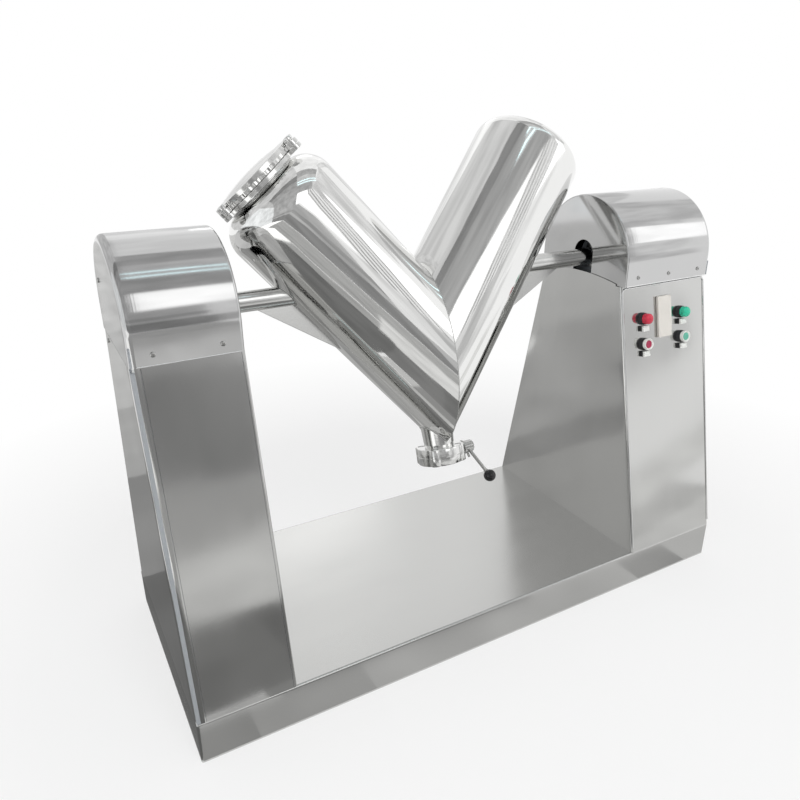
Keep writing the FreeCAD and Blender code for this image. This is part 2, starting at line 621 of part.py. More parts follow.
MOTOR_TOP = "(shaft_level - worm_case_down)"
motor_can = turned("motor_can", [("0", "0"), ("fan_cover_radius * 0.9", "0"), ("fan_cover_radius", "6"),
                                 ("fan_cover_radius", "fan_cover_length"),
                                 ("motor_radius * 0.92", "fan_cover_length"),
                                 ("motor_radius * 0.92", "motor_length - motor_flange_thick"),
                                 ("motor_radius", "motor_length - motor_flange_thick"),
                                 ("motor_radius", "motor_length"), ("0", "motor_length")], sub_part=False)
motor_at = (worm_middle, "reducer_centres", f"{MOTOR_TOP} - motor_length")
put(motor_can, motor_at)
box_face = "(reducer_centres - motor_radius / 2)"
terminal_box = box((f"{worm_middle} - terminal_box_size / 2", f"{worm_middle} + terminal_box_size / 2"),
                   (f"{box_face} - terminal_box_depth", box_face),
                   (f"{motor_at[2]} + fan_cover_length + 20",
                    f"{motor_at[2]} + fan_cover_length + 20 + terminal_box_size"))
keep(joined(motor_can, terminal_box), "motor")

# Vessel frame of reference: the V stands along z, and tilts about the shaft
vessel_place = Placement(Vector(0, 0, size.shaft_level), Rotation(Vector(1, 0, 0), -size.vessel_tilt))
crotch = Vector(-size.mitre_offset, 0, -size.mitre_drop)


def leg_place(side):
    """The placement of a leg's own frame, z along the leg from where the two axes meet."""
    return Placement(crotch, Rotation(Vector(0, 1, 0), side * size.leg_angle))


def leg_rod(side, radius, length):
    """A solid rod along a leg's axis, ended at the mitre plane."""
    back = 2.2 * radius
    rod = placed(Part.makeCylinder(radius, length + back, Vector(0, 0, -back)), leg_place(side))
    reach = 2 * (length + back)
    corner = Vector(crotch.x if side > 0 else crotch.x - reach, -reach / 2, crotch.z - reach / 2)
    return rod.common(Part.makeBox(reach, reach, reach, corner))


leg_lengths = {-1: size.left_leg_length, 1: size.right_leg_length}
bore_radius = size.leg_radius - size.leg_wall
vessel_inside = leg_rod(-1, bore_radius, leg_lengths[-1]).fuse(leg_rod(1, bore_radius, leg_lengths[1]))
vessel_tip = crotch.z - size.leg_radius / math.sin(math.radians(size.leg_angle))
valve_top = vessel_tip - size.pipe_reach
pipe_high = vessel_tip + 2 * size.pipe_top_radius


def pipe_rod(inset):
    """The tapered discharge pipe as a solid, made smaller by an inset."""
    cone = Part.makeCone(size.pipe_bottom_radius - inset, size.pipe_top_radius - inset, pipe_high - valve_top,
                         Vector(crotch.x, 0, valve_top))
    return cone


for side, name in ((-1, "left"), (1, "right")):
    shell = leg_rod(side, size.leg_radius, leg_lengths[side]).cut(leg_rod(side, bore_radius, leg_lengths[side] + 1))
    built(shell.cut(pipe_rod(0)), f"{name}_leg", vessel_place)
built(pipe_rod(0).cut(pipe_rod(size.pipe_wall)).cut(vessel_inside), "discharge_pipe", vessel_place)


# Dished ends: a knuckle arc and a shallow crown, spun to shape
def crown_point(rim, crown, across, base):
    """A point of the spherical crown that is so high over its rim, at a distance from the axis."""
    sphere = (rim ** 2 + crown ** 2) / (2 * crown)
    return Vector(across, 0, base + crown - sphere + math.sqrt(sphere ** 2 - across ** 2))


def head_outline(radius, knuckle, crown, base):
    """The half profile of a dished end as a face in the XZ plane."""
    flat = radius - knuckle
    middle = Vector(flat + knuckle * math.cos(math.pi / 4), 0, base + knuckle * math.sin(math.pi / 4))
    shoulder = Vector(flat, 0, base + knuckle)
    top = Vector(0, 0, base + knuckle + crown)
    edges = [Part.LineSegment(Vector(0, 0, base), Vector(radius, 0, base)).toShape(),
             Part.Arc(Vector(radius, 0, base), middle, shoulder).toShape(),
             Part.Arc(shoulder, crown_point(flat, crown, flat / 2, base + knuckle), top).toShape(),
             Part.LineSegment(top, Vector(0, 0, base)).toShape()]
    return Part.Face(Part.Wire(edges))


def head_solid(side, inset):
    knuckle = size.left_knuckle if side < 0 else size.right_knuckle
    face = head_outline(size.leg_radius - inset, knuckle - inset, size.head_crown, leg_lengths[side])
    return face.revolve(Vector(), Vector(0, 0, 1), 360)


left_head = head_solid(-1, 0).cut(head_solid(-1, size.leg_wall))
left_head = left_head.cut(disc(size.neck_radius, leg_lengths[-1], leg_lengths[-1] + 2 * size.left_knuckle))
left_place = vessel_place.multiply(leg_place(-1))
right_place = vessel_place.multiply(leg_place(1))
built(left_head, "left_dished_end", left_place)
built(head_solid(1, 0).cut(head_solid(1, size.leg_wall)), "right_dished_end", right_place)

# Shaft stubs, welded to the legs, and the gusset plates below them
drive_start = size.base_length / 2 - size.drive_room
shaft_spans = {-1: (left_start + size.left_bearing_inset - size.bearing_width / 2 - size.shaft_overhang, crotch.x),
               1: (crotch.x, drive_start + size.reducer_width + size.cover_disc_thick)}
key_start = drive_start + (size.reducer_width - size.key_length) / 2
keyway = Part.makeBox(size.key_length, size.key_width, size.key_height,
                      Vector(key_start, -size.key_width / 2, size.shaft_level + size.shaft_radius - size.key_height / 2))
level_place = Placement(Vector(0, 0, size.shaft_level), Rotation())
gussets = []
for side, name in ((-1, "left"), (1, "right")):
    start, end = shaft_spans[side]
    leg_body = leg_rod(side, size.leg_radius, leg_lengths[side])
    stub = Part.makeCylinder(size.shaft_radius, end - start, Vector(start, 0, 0), Vector(1, 0, 0))
    world_leg = placed(leg_body, vessel_place)
    world_stub = placed(stub, level_place).cut(world_leg)
    world_stub = max(world_stub.Solids, key=lambda solid: solid.Volume)
    built(world_stub.cut(keyway) if side > 0 else world_stub, f"{name}_shaft")

    junction = crotch.x + side * (size.mitre_drop * math.tan(math.radians(size.leg_angle))
                                  + size.leg_radius / math.cos(math.radians(size.leg_angle)))
    reach = size.left_gusset_reach if side < 0 else size.right_gusset_reach
    tip = junction + side * reach
    fall = math.tan(math.radians(size.left_gusset_slope if side < 0 else size.right_gusset_slope))
    root = 1.27 * size.leg_radius
    corners = [Vector(tip, 0, -size.shaft_radius), Vector(junction - side * root / 2, 0, 0),
               Vector(junction - side * root, 0, -size.shaft_radius - fall * (reach + root))]
    plate = Part.Face(Part.makePolygon(corners + corners[:1])).extrude(Vector(0, size.gusset_thick, 0))
    plate.translate(Vector(0, -size.gusset_thick / 2, 0))
    plate = plate.cut(leg_body).cut(stub)
    gussets.append(max(plate.Solids, key=lambda solid: solid.Volume))
built(Part.makeCompound(gussets), "shaft_gussets", vessel_place)

# Charging neck in the left leg's frame: a short tube with a flange, hinge ears and screw ears
flange_top = size.left_leg_length + size.left_knuckle + size.neck_rise
flange_low = flange_top - size.flange_thick
neck_low = size.left_leg_length + size.left_knuckle - 3
pin_bearing = math.radians(size.hinge_bearing)
outward = Vector(math.cos(pin_bearing), math.sin(pin_bearing), 0)
tangent = Vector(-math.sin(pin_bearing), math.cos(pin_bearing), 0)
pin_centre = outward * (size.flange_radius + size.hinge_reach) + Vector(0, 0, flange_top)
screw_bearings = (size.first_screw_bearing, size.second_screw_bearing)
ear_turns = {bearing: Rotation(Vector(0, 0, 1), bearing) for bearing in screw_bearings}
hinge_turn = Placement(Vector(), Rotation(Vector(0, 0, 1), size.hinge_bearing))


def ear(radius, low, high):
    """A flat lug on the +X side, rounded at its outer end."""
    lug = disc(radius, low, high)
    lug.translate(Vector(size.lid_screw_circle, 0, 0))
    root = Part.makeBox(size.lid_screw_circle - size.neck_radius - size.neck_wall, 2 * radius, high - low,
                        Vector(size.neck_radius + size.neck_wall, -radius, low))
    return lug.fuse(root)


def hinge_leaf(width, offset, low):
    """A leaf of the hinge: a round eye on the pin's axis with a web back to the rim."""
    eye = Part.makeCylinder(size.knuckle_radius, width,
                            Vector(size.flange_radius + size.hinge_reach, offset - width / 2, flange_top),
                            Vector(0, 1, 0))
    web = Part.makeBox(size.hinge_reach + 12, width, abs(flange_top - low),
                       Vector(size.flange_radius - 12, offset - width / 2, min(low, flange_top)))
    return eye.fuse(web)


pin_hole = Part.makeCylinder(size.hinge_pin_radius, 80,
                             Vector(size.flange_radius + size.hinge_reach, -40, flange_top), Vector(0, 1, 0))
loose_hole = Part.makeCylinder(size.hinge_pin_radius + size.hinge_gap, 80,
                               Vector(size.flange_radius + size.hinge_reach, -40, flange_top), Vector(0, 1, 0))
neck_solid = disc(size.neck_radius, neck_low, flange_top).fuse(disc(size.flange_radius, flange_low, flange_top))
for bearing in screw_bearings:
    lug = ear(size.lid_ear_radius, flange_low, flange_top)
    hole = disc(size.lid_screw_tip_radius + size.tip_clearance, flange_low - 1, flange_top + 1)
    hole.translate(Vector(size.lid_screw_circle, 0, 0))
    neck_solid = neck_solid.fuse(placed(lug.cut(hole), Placement(Vector(), ear_turns[bearing])))
    neck_solid = neck_solid.cut(placed(hole, Placement(Vector(), ear_turns[bearing])))
ear_offset = size.lid_knuckle_width / 2 + size.ear_gap + size.ear_width / 2
for offset in (-ear_offset, ear_offset):
    leaf = hinge_leaf(size.ear_width, offset, flange_low)
    above = Part.makeBox(size.flange_radius + 1, 90, 40, Vector(0, -45, flange_top))
    neck_solid = neck_solid.fuse(placed(leaf.cut(above), hinge_turn))
neck_solid = neck_solid.cut(placed(pin_hole, hinge_turn))
swing_room = Part.makeCylinder(size.knuckle_radius + 1.5, size.lid_knuckle_width + 2 * size.ear_gap,
                               Vector(size.flange_radius + size.hinge_reach,
                                      -size.lid_knuckle_width / 2 - size.ear_gap, flange_top), Vector(0, 1, 0))
neck_solid = neck_solid.cut(placed(swing_room, hinge_turn))
neck_solid = neck_solid.cut(disc(size.neck_radius - size.neck_wall, neck_low - 1, flange_top + 1))
built(neck_solid.removeSplitter(), "charging_neck", left_place)
pin_half = ear_offset + size.ear_width / 2 + 2
hinge_pin = Part.makeCylinder(size.hinge_pin_radius, 2 * pin_half,
                              Vector(size.flange_radius + size.hinge_reach, -pin_half, flange_top), Vector(0, 1, 0))
built(placed(hinge_pin, hinge_turn), "lid_hinge_pin", left_place)

# Charging lid: a spun cap with a thick rim, on the leaf of its hinge
lid_low = flange_top + size.lid_gap
lid_high = lid_low + size.lid_rim_height
rim_inner = size.flange_radius - size.lid_rim_width
lid_face = Part.Face(Part.Wire([
    Part.LineSegment(Vector(0, 0, lid_high - size.lid_plate), Vector(rim_inner, 0, lid_high - size.lid_plate)).toShape(),
    Part.LineSegment(Vector(rim_inner, 0, lid_high - size.lid_plate), Vector(rim_inner, 0, lid_low)).toShape(),
    Part.LineSegment(Vector(rim_inner, 0, lid_low), Vector(size.flange_radius, 0, lid_low)).toShape(),
    Part.LineSegment(Vector(size.flange_radius, 0, lid_low), Vector(size.flange_radius, 0, lid_high)).toShape(),
    Part.LineSegment(Vector(size.flange_radius, 0, lid_high), Vector(rim_inner, 0, lid_high)).toShape(),
    Part.Arc(Vector(rim_inner, 0, lid_high), crown_point(rim_inner, size.lid_crown, rim_inner / 2, lid_high),
             Vector(0, 0, lid_high + size.lid_crown)).toShape(),
    Part.LineSegment(Vector(0, 0, lid_high + size.lid_crown), Vector(0, 0, lid_high - size.lid_plate)).toShape()]))
lid_solid = lid_face.revolve(Vector(), Vector(0, 0, 1), 360)
groove = tube(size.gasket_inner, size.gasket_outer, lid_low - 1, lid_low + size.gasket_height - size.lid_gap
              + size.gasket_gap)
for bearing in screw_bearings:
    lug = ear(size.lid_ear_radius, lid_low, lid_low + size.lid_ear_height)
    lug = lug.cut(disc(rim_inner + 1, lid_low - 1, lid_high))
    hole = disc(size.lid_screw_radius + size.screw_fit, lid_low - 1, lid_high)
    hole.translate(Vector(size.lid_screw_circle, 0, 0))
    relief = disc(size.grip_radius + size.ear_gap, lid_low + size.lid_ear_height, lid_high + size.lid_crown)
    relief.translate(Vector(size.lid_screw_circle, 0, 0))
    turn = Placement(Vector(), ear_turns[bearing])
    lid_solid = lid_solid.fuse(placed(lug, turn)).cut(placed(hole, turn)).cut(placed(relief, turn))
leaf = hinge_leaf(size.lid_knuckle_width, 0, lid_high - 2)
leaf = leaf.cut(Part.makeBox(size.flange_radius + size.hinge_reach - size.knuckle_radius - 1.5, 90, size.lid_gap + 1,
                             Vector(0, -45, flange_top - 1)))
leaf = leaf.cut(disc(rim_inner + 1, 0, lid_high))
lid_solid = lid_solid.fuse(placed(leaf, hinge_turn)).cut(placed(loose_hole, hinge_turn))
lid_solid = lid_solid.cut(groove)
built(lid_solid.removeSplitter(), "charging_lid", left_place)
gasket = tube(size.gasket_inner, size.gasket_outer, flange_top + size.gasket_gap,
              flange_top + size.gasket_gap + size.gasket_height)
built(gasket, "lid_gasket", left_place)


def hand_screw(bearing):
    """A closing screw: knurled grip, shank through the lid's ear, thin tip in the neck's ear."""
    ear_top = lid_low + size.lid_ear_height
    grip = disc(size.grip_radius, ear_top, ear_top + size.grip_height)
    grip = grip.makeChamfer(1.5, [edge for edge in grip.Edges if len(edge.Vertexes) == 1])
    shank = disc(size.lid_screw_radius, flange_top + size.gasket_gap, ear_top)
    tip = disc(size.lid_screw_tip_radius, flange_top - size.lid_screw_tip + 1, flange_top + size.gasket_gap)
    screw = grip.fuse(shank).fuse(tip)
    screw.translate(Vector(size.lid_screw_circle, 0, 0))
    return placed(screw, Placement(Vector(), ear_turns[bearing]))


built(hand_screw(size.first_screw_bearing), "lid_screw_outer", left_place)
built(hand_screw(size.second_screw_bearing), "lid_screw_inner", left_place)

# Butterfly valve in its own frame: z down the pipe's axis reversed, origin on the stem
valve_middle = valve_top - size.valve_height / 2
valve_place = vessel_place.multiply(Placement(Vector(crotch.x, 0, valve_middle), Rotation()))
half_high = size.valve_height / 2
stem_axis = Vector(1, 0, 0)


def stem_rod(radius, start, end):
    return Part.makeCylinder(radius, end - start, Vector(start, 0, 0), stem_axis)


bolt_spots = [Vector(size.valve_bolt_circle * math.cos(math.radians(45 + 90 * i)),
                     size.valve_bolt_circle * math.sin(math.radians(45 + 90 * i)), 0) for i in range(4)]
stem_room = stem_rod(size.stem_radius + size.stem_gap, -size.valve_radius + 8, size.valve_radius + 60)
body_solid = disc(size.valve_radius, -half_high, half_high)
for spot in bolt_spots:
    lobe = disc(size.valve_lobe_radius, -half_high, half_high)
    lobe.translate(spot)
    body_solid = body_solid.fuse(lobe)
body_solid = body_solid.removeSplitter()
body_solid = body_solid.makeChamfer(size.valve_edge, [edge for edge in body_solid.Edges
                                                      if abs(abs(edge.CenterOfMass.z) - half_high) < 0.01])
gland = stem_rod(size.gland_radius, size.valve_radius - 8, size.valve_radius + size.gland_reach)
body_solid = body_solid.fuse(gland)
bore_cut = disc(size.valve_bore, -half_high - 1, half_high + 1)
seat_cut = disc(size.seat_radius, -size.seat_height / 2, size.seat_height / 2)
body_solid = body_solid.cut(bore_cut).cut(seat_cut).cut(stem_room)
head_depth = size.valve_head_height + size.valve_head_room
for spot in bolt_spots:
    hole = disc(size.valve_bolt_radius, -half_high - 1, half_high + 1)
    for low in (-half_high - 1, half_high - head_depth):
        hole = hole.fuse(disc(size.valve_head_radius + size.valve_head_room, low, low + head_depth + 1))
    hole.translate(spot)
    body_solid = body_solid.cut(hole)
cube = 4 * size.valve_radius
upper_half = body_solid.common(Part.makeBox(cube, cube, cube, Vector(-cube / 2, -cube / 2, 0)))
lower_half = body_solid.common(Part.makeBox(cube, cube, cube, Vector(-cube / 2, -cube / 2, -cube)))
built(upper_half, "valve_body_upper", valve_place)
built(lower_half, "valve_body_lower", valve_place)

seat = disc(size.seat_radius, -size.seat_height / 2, size.seat_height / 2).cut(
    disc(size.seat_bore, -size.seat_height, size.seat_height)).cut(stem_room)
built(seat, "valve_seat", valve_place)

valve_bolts = []
shank_end = half_high - head_depth
for spot in bolt_spots:
    bolt = disc(size.valve_bolt_radius, -shank_end, shank_end)
    for low in (-shank_end - size.valve_head_height, shank_end):
        hexagon = Part.Face(Part.makePolygon([Vector(size.valve_head_radius * math.cos(math.radians(60 * i)),
                                                     size.valve_head_radius * math.sin(math.radians(60 * i)), low)
                                              for i in range(7)]))
        bolt = bolt.fuse(hexagon.extrude(Vector(0, 0, size.valve_head_height)))
    bolt.translate(spot)
    valve_bolts.append(bolt)
built(Part.makeCompound(valve_bolts), "valve_bolts", valve_place)

disc_solid = disc(size.seat_bore - size.disc_gap, -size.disc_thick / 2, size.disc_thick / 2)
index_start = size.valve_radius + size.gland_reach
hub_start = index_start + size.index_plate_thick + size.ear_gap
stem = stem_rod(size.stem_hub_radius, -size.seat_bore * 0.8, size.seat_bore * 0.8)
stem = stem.fuse(stem_rod(size.stem_radius, -size.valve_radius + 10, hub_start + size.hub_length - 2))
stem = stem.common(stem_rod(size.stem_radius, -cube, cube).fuse(
    disc(size.seat_bore - 1.5, -20, 20)))
built(disc_solid.fuse(stem).removeSplitter(), "valve_disc", valve_place)

index_plate = stem_rod(size.index_plate_radius, index_start, index_start + size.index_plate_thick)
index_plate = index_plate.cut(stem_room)
built(index_plate, "valve_index_plate", valve_place)

lever_turn = math.radians(size.lever_angle)
lever_way = Vector(0, -math.cos(lever_turn), -math.sin(lever_turn))
hub_middle = Vector(hub_start + size.hub_length / 2, 0, 0)
hub = stem_rod(size.hub_radius, hub_start, hub_start + size.hub_length)
hub = hub.makeChamfer(1.5, [edge for edge in hub.Edges if len(edge.Vertexes) == 1])
hub = hub.cut(stem_rod(size.stem_radius, hub_start - 1, hub_start + size.hub_length - 2))
trigger = Part.makeCylinder(size.trigger_radius, size.trigger_length, Vector(hub_middle.x - 4, 0, 0),
                            Vector(0, -math.sin(lever_turn), -math.cos(lever_turn) * 1.4))
trigger = trigger.cut(stem_rod(size.hub_radius - 2, hub_start - 5, hub_start + 40))
built(hub.fuse(trigger), "lever_hub", valve_place)
lever = Part.makeCylinder(size.lever_radius, size.lever_length - size.ball_radius - size.hub_radius * 0.8,
                          hub_middle + lever_way * size.hub_radius * 0.8, lever_way)
lever = lever.cut(hub)
built(max(lever.Solids, key=lambda solid: solid.Volume), "valve_lever", valve_place)
ball = Part.makeSphere(size.ball_radius, hub_middle + lever_way * size.lever_length)
built(ball.cut(lever), "lever_ball", valve_place)

# Control devices: black bases through the cover, contact blocks on collars behind
body_end = -size.skin - size.device_body_depth


def device_base(is_button):
    solid = disc(size.device_base_radius, 0, size.device_base_height)
    solid = solid.makeChamfer(1, [edge for edge in solid.Edges if len(edge.Vertexes) == 1 and edge.CenterOfMass.z > 1])
    solid = solid.fuse(disc(size.device_body_radius, body_end, 0))
    if is_button:
        well = size.cap_sink + size.button_travel + size.button_room
        solid = solid.cut(disc(size.cap_radius + size.cap_gap, size.device_base_height - well - 1,
                               size.device_base_height + 1))
    return solid


def button_at(index):
    return index >= len(device_columns)


bases = [placed(device_base(button_at(i)), on_panel(*spot)) for i, spot in enumerate(device_spots)]
built(Part.makeCompound(bases), "device_bases")
collar = tube(size.device_body_radius, size.device_collar_radius, body_end, -size.skin)
block = Part.makeBox(size.contact_width, size.contact_width, size.contact_length,
                     Vector(-size.contact_width / 2, -size.contact_width / 2, body_end - size.contact_length))
block = block.fuse(collar)
built(Part.makeCompound([placed(block, on_panel(*spot)) for spot in device_spots]), "contact_blocks")


def lens():
    solid = disc(size.lens_radius, size.device_base_height, size.device_base_height + size.lens_height)
    top = [edge for edge in solid.Edges if len(edge.Vertexes) == 1
           and edge.CenterOfMass.z > size.device_base_height + 1]
    return solid.makeFillet(size.lens_radius * 0.6, top)


for label, spot in (("red_lamp_lens", device_spots[0]), ("green_lamp_lens", device_spots[1])):
    built(lens(), label, on_panel(*spot))

ring_shape = Part.makeCone(size.lens_radius, size.ring_radius, size.ring_height,
                           Vector(0, 0, size.device_base_height)).cut(
    disc(size.cap_radius + size.cap_gap, 0, 40))
built(Part.makeCompound([placed(ring_shape, on_panel(*spot)) for spot in device_spots[2:]]), "button_rings")
cap_low = size.device_base_height - size.cap_sink
cap_shape = disc(size.cap_radius, cap_low, size.device_base_height + size.ring_height - 1)
cap_shape = cap_shape.makeChamfer(0.8, [edge for edge in cap_shape.Edges if len(edge.Vertexes) == 1
                                        and edge.CenterOfMass.z > cap_low + 1])
for label, spot in (("red_button_cap", device_spots[2]), ("green_button_cap", device_spots[3])):
    built(cap_shape, label, on_panel(*spot))

tag = Part.makeBox(size.tag_width, size.tag_height, size.tag_depth,
                   Vector(-size.tag_width / 2, -size.tag_drop - size.tag_height / 2, 0))
tag = tag.cut(disc(size.device_base_radius, -1, size.device_base_height + 1))
insert = Part.makeBox(size.tag_width - 2, size.tag_height - 2, size.tag_insert,
                      Vector(-size.tag_width / 2 + 1, -size.tag_drop - size.tag_height / 2 + 1, size.tag_depth))
built(Part.makeCompound([placed(tag, on_panel(*spot)) for spot in device_spots]), "tag_holders")
built(Part.makeCompound([placed(insert, on_panel(*spot)) for spot in device_spots]), "tag_inserts")
plate = Part.makeBox(size.plate_width, size.plate_length, size.plate_thick,
                     Vector(-size.plate_width / 2, -size.plate_length / 2, 0))
built(plate, "blank_plate", on_panel(right_start + size.plate_inset, size.plate_station))

doc.recompute()

# Every object is sound and every cut removes something before anything is written
for obj in doc.Objects:
    if "Invalid" in obj.State or "Error" in obj.State:
        raise RuntimeError(f"{obj.Name} ({obj.Label}) is {obj.State} {obj.getStatusString()}")
for base, feature in cuts:
    if feature.Shape.Volume >= base.Shape.Volume - 0.001:
        raise RuntimeError(f"{feature.Name} cuts nothing")
for node in nodes:
    if node.Shape.isNull() or not node.Shape.isValid():
        raise RuntimeError(f"{node.Label} is null or invalid")
for node in nodes:
    node.Shape.exportStep(f"parts/{node.Label}.step")
print(len(nodes), "sub-parts written")
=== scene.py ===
import json
from math import atan, cos, hypot, pi, radians, remainder, sin, sqrt, tan
import bpy
import bmesh
from mathutils import Matrix, Vector

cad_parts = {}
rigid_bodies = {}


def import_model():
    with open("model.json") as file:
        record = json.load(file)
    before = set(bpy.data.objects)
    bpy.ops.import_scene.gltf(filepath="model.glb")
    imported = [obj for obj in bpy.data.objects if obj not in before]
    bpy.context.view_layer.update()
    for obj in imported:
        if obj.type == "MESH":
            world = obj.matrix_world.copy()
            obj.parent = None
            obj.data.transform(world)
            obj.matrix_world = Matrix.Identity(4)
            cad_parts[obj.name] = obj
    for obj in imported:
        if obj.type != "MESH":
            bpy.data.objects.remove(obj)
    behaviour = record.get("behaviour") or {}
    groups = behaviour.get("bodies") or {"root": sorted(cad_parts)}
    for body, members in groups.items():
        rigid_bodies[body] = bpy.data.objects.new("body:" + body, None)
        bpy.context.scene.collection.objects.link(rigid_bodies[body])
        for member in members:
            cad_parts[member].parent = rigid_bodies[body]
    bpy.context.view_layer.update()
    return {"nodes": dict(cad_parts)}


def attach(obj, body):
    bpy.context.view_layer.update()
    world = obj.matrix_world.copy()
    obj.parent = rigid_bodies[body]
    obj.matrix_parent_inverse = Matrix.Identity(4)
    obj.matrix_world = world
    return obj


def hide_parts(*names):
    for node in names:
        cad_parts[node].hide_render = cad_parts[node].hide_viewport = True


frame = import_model()
nodes = frame["nodes"]


# Base tray: one stainless sheet folded down on four sides and ground along its length.
# It is the CAD solid itself, with the ground finish that all the flat sheets share.
def new_finish(name, metallic=0.0):
    """A new material with its node tree, its shader and the object's own coordinates."""
    material = bpy.data.materials.new(name)
    material.use_nodes = True
    tree = material.node_tree
    shader = tree.nodes["Principled BSDF"]
    shader.inputs["Metallic"].default_value = metallic
    return material, tree, shader, tree.nodes.new("ShaderNodeTexCoord").outputs["Object"]


def stretched(tree, place, scale, rotation=(0, 0, 0)):
    """Coordinates turned and then scaled along each axis."""
    for socket, value in (("Rotation", rotation), ("Scale", scale)):
        step = tree.nodes.new("ShaderNodeMapping")
        step.inputs[socket].default_value = value
        tree.links.new(place, step.inputs["Vector"])
        place = step.outputs["Vector"]
    return place


def noise(tree, place, scale, detail=2.0, roughness=0.5):
    """The value of a noise texture."""
    texture = tree.nodes.new("ShaderNodeTexNoise")
    for socket, value in (("Scale", scale), ("Detail", detail), ("Roughness", roughness)):
        texture.inputs[socket].default_value = value
    tree.links.new(place, texture.inputs["Vector"])
    return texture.outputs["Fac"]


def spread(tree, value, low, high, start=0.0, end=1.0):
    """A value between start and end, spread from low to high."""
    node = tree.nodes.new("ShaderNodeMapRange")
    for socket, number in (("From Min", start), ("From Max", end), ("To Min", low), ("To Max", high)):
        node.inputs[socket].default_value = number
    tree.links.new(value, node.inputs["Value"])
    return node.outputs["Result"]


def product(tree, one, two):
    """Two values multiplied."""
    node = tree.nodes.new("ShaderNodeMath")
    node.operation = "MULTIPLY"
    tree.links.new(one, node.inputs[0])
    tree.links.new(two, node.inputs[1])
    return node.outputs["Value"]


def shades(tree, value, tint, low, high, socket):
    """Colour a socket between a darker and a lighter shade of one tint."""
    colour = tree.nodes.new("ShaderNodeMix")
    colour.data_type = "RGBA"
    colour.inputs["A"].default_value = [*(c * low for c in tint), 1]
    colour.inputs["B"].default_value = [*(c * high for c in tint), 1]
    tree.links.new(value, colour.inputs["Factor"])
    tree.links.new(colour.outputs["Result"], socket)


def relief(tree, height, strength, distance, below=None):
    """A normal raised by a height; its strength is a number or another node's value."""
    bump = tree.nodes.new("ShaderNodeBump")
    bump.inputs["Distance"].default_value = distance
    if isinstance(strength, float):
        bump.inputs["Strength"].default_value = strength
    else:
        tree.links.new(strength, bump.inputs["Strength"])
    if below:
        tree.links.new(below, bump.inputs["Normal"])
    tree.links.new(height, bump.inputs["Height"])
    return bump.outputs["Normal"]


def calm_metal(finish, tint, patches, low, high, gloss, height, strengths, depth, below=None):
    """Patchy metal with a relief. Other pieces' reflections show it with less blur and less relief
    than the camera does, or they would turn to grain between two mirrors."""
    material, tree, shader, place = finish
    seen = tree.nodes.new("ShaderNodeLightPath").outputs["Is Camera Ray"]
    shades(tree, patches, tint, low, high, shader.inputs["Base Color"])
    blur = product(tree, spread(tree, patches, *gloss), spread(tree, seen, 0.25, 1.0))
    tree.links.new(blur, shader.inputs["Roughness"])
    raised = relief(tree, height, spread(tree, seen, *strengths), depth, below)
    tree.links.new(raised, shader.inputs["Normal"])
    return material


def ground_sheet(name, grain, tint, roughness, cloud, warp=0.003):
    """Ground stainless sheet: scratched along the grain's axes, clouded by wiping, a little buckled."""
    finish = material, tree, shader, place = new_finish(name, 1.0)
    scratches = noise(tree, stretched(tree, place, [5 if axis in grain else 300 for axis in "xyz"]), 1.0, 1.0)
    broad = stretched(tree, place, [1.6 if axis in grain else 5.5 for axis in "xyz"])
    clouds = noise(tree, broad, 1.0, 5.0, 0.6)
    buckle = relief(tree, noise(tree, place, 3.2, 1.0), 1.0, warp)
    gloss = (roughness - 0.03, roughness + 0.05, 0.3, 0.7)
    return calm_metal(finish, tint, clouds, 1 - cloud, 1 + cloud, gloss, scratches, (0.0, 0.10), 0.0002,
                      buckle)


def finish_nodes(material, *names):
    """Give CAD solids their finish."""
    for name in names:
        slots = nodes[name].data.materials
        slots.clear()
        slots.append(material)


long_grain = ground_sheet("ground sheet, long grain", "x", (0.58, 0.58, 0.57), 0.22, 0.07)
upright_grain = ground_sheet("ground sheet, upright grain", "z", (0.64, 0.64, 0.63), 0.115, 0.08, 0.006)
finish_nodes(long_grain, "base_plinth")


# Pedestal side sheets: each a tapered web folded round its front and back edges.
# Two millimetre stainless, bent to a small radius, so each fold catches a line of light.
base_top = 0.088
skirt_top = 0.705
base_half_depth = 0.258
slope = (base_half_depth - 0.128) / (skirt_top - base_top)
sheet = 0.002
outer_end, left_inner, right_inner = 0.650, -0.464, 0.385
edge_inset = 0.0156


def half_depth(z):
    """Half the pedestal's depth at a level."""
    return base_half_depth - (z - base_top) * slope


def fold(x, inward, side, off, bend, count=8):
    """Points (x, side, inset) round a bend between a web at x and a flange, web end first."""
    return [(x + inward * (bend - (bend - off) * cos(turn)), side, bend - (bend - off) * sin(turn))
            for turn in (pi / 2 * i / count for i in range(count + 1))]


def sheet_path(x, inward, flange, front, off, bend):
    """One face of a side sheet as (x, side, inset) points from its front flange to its back one."""
    path = []
    if front:
        path.append((x + inward * flange, -1, off))
        path += fold(x, inward, -1, off, bend)[::-1]
    else:
        path.append((x + inward * off, -1, edge_inset))
    for i in range(2 if front else 3, 23):
        path.append((x + inward * off, -1 + i / 12, 0.0))
    path += fold(x, inward, 1, off, bend)
    path.append((x + inward * flange, 1, off))
    return path


def rise(side, inset, top, arch):
    """The height at which a line up the sloping sheet meets its straight or arched top edge."""
    z = top
    for i in range(6):
        y = side * (half_depth(z) - inset)
        z = top + arch * (1 - (y / half_depth(skirt_top)) ** 2)
    return z


def skin(mesh, rings, closed=False, looped=True):
    """Faces from each ring of vertices to the next; closed also joins the last ring to the first."""
    for one, two in zip(rings, rings[1:] + rings[:1] if closed else rings[1:]):
        for i in range(len(one) if looped else len(one) - 1):
            j = (i + 1) % len(one)
            mesh.faces.new((one[i], one[j], two[j], two[i]))


def put_in(name, data):
    """An object of its own in the scene."""
    piece = bpy.data.objects.new(name, data)
    bpy.context.scene.collection.objects.link(piece)
    return piece


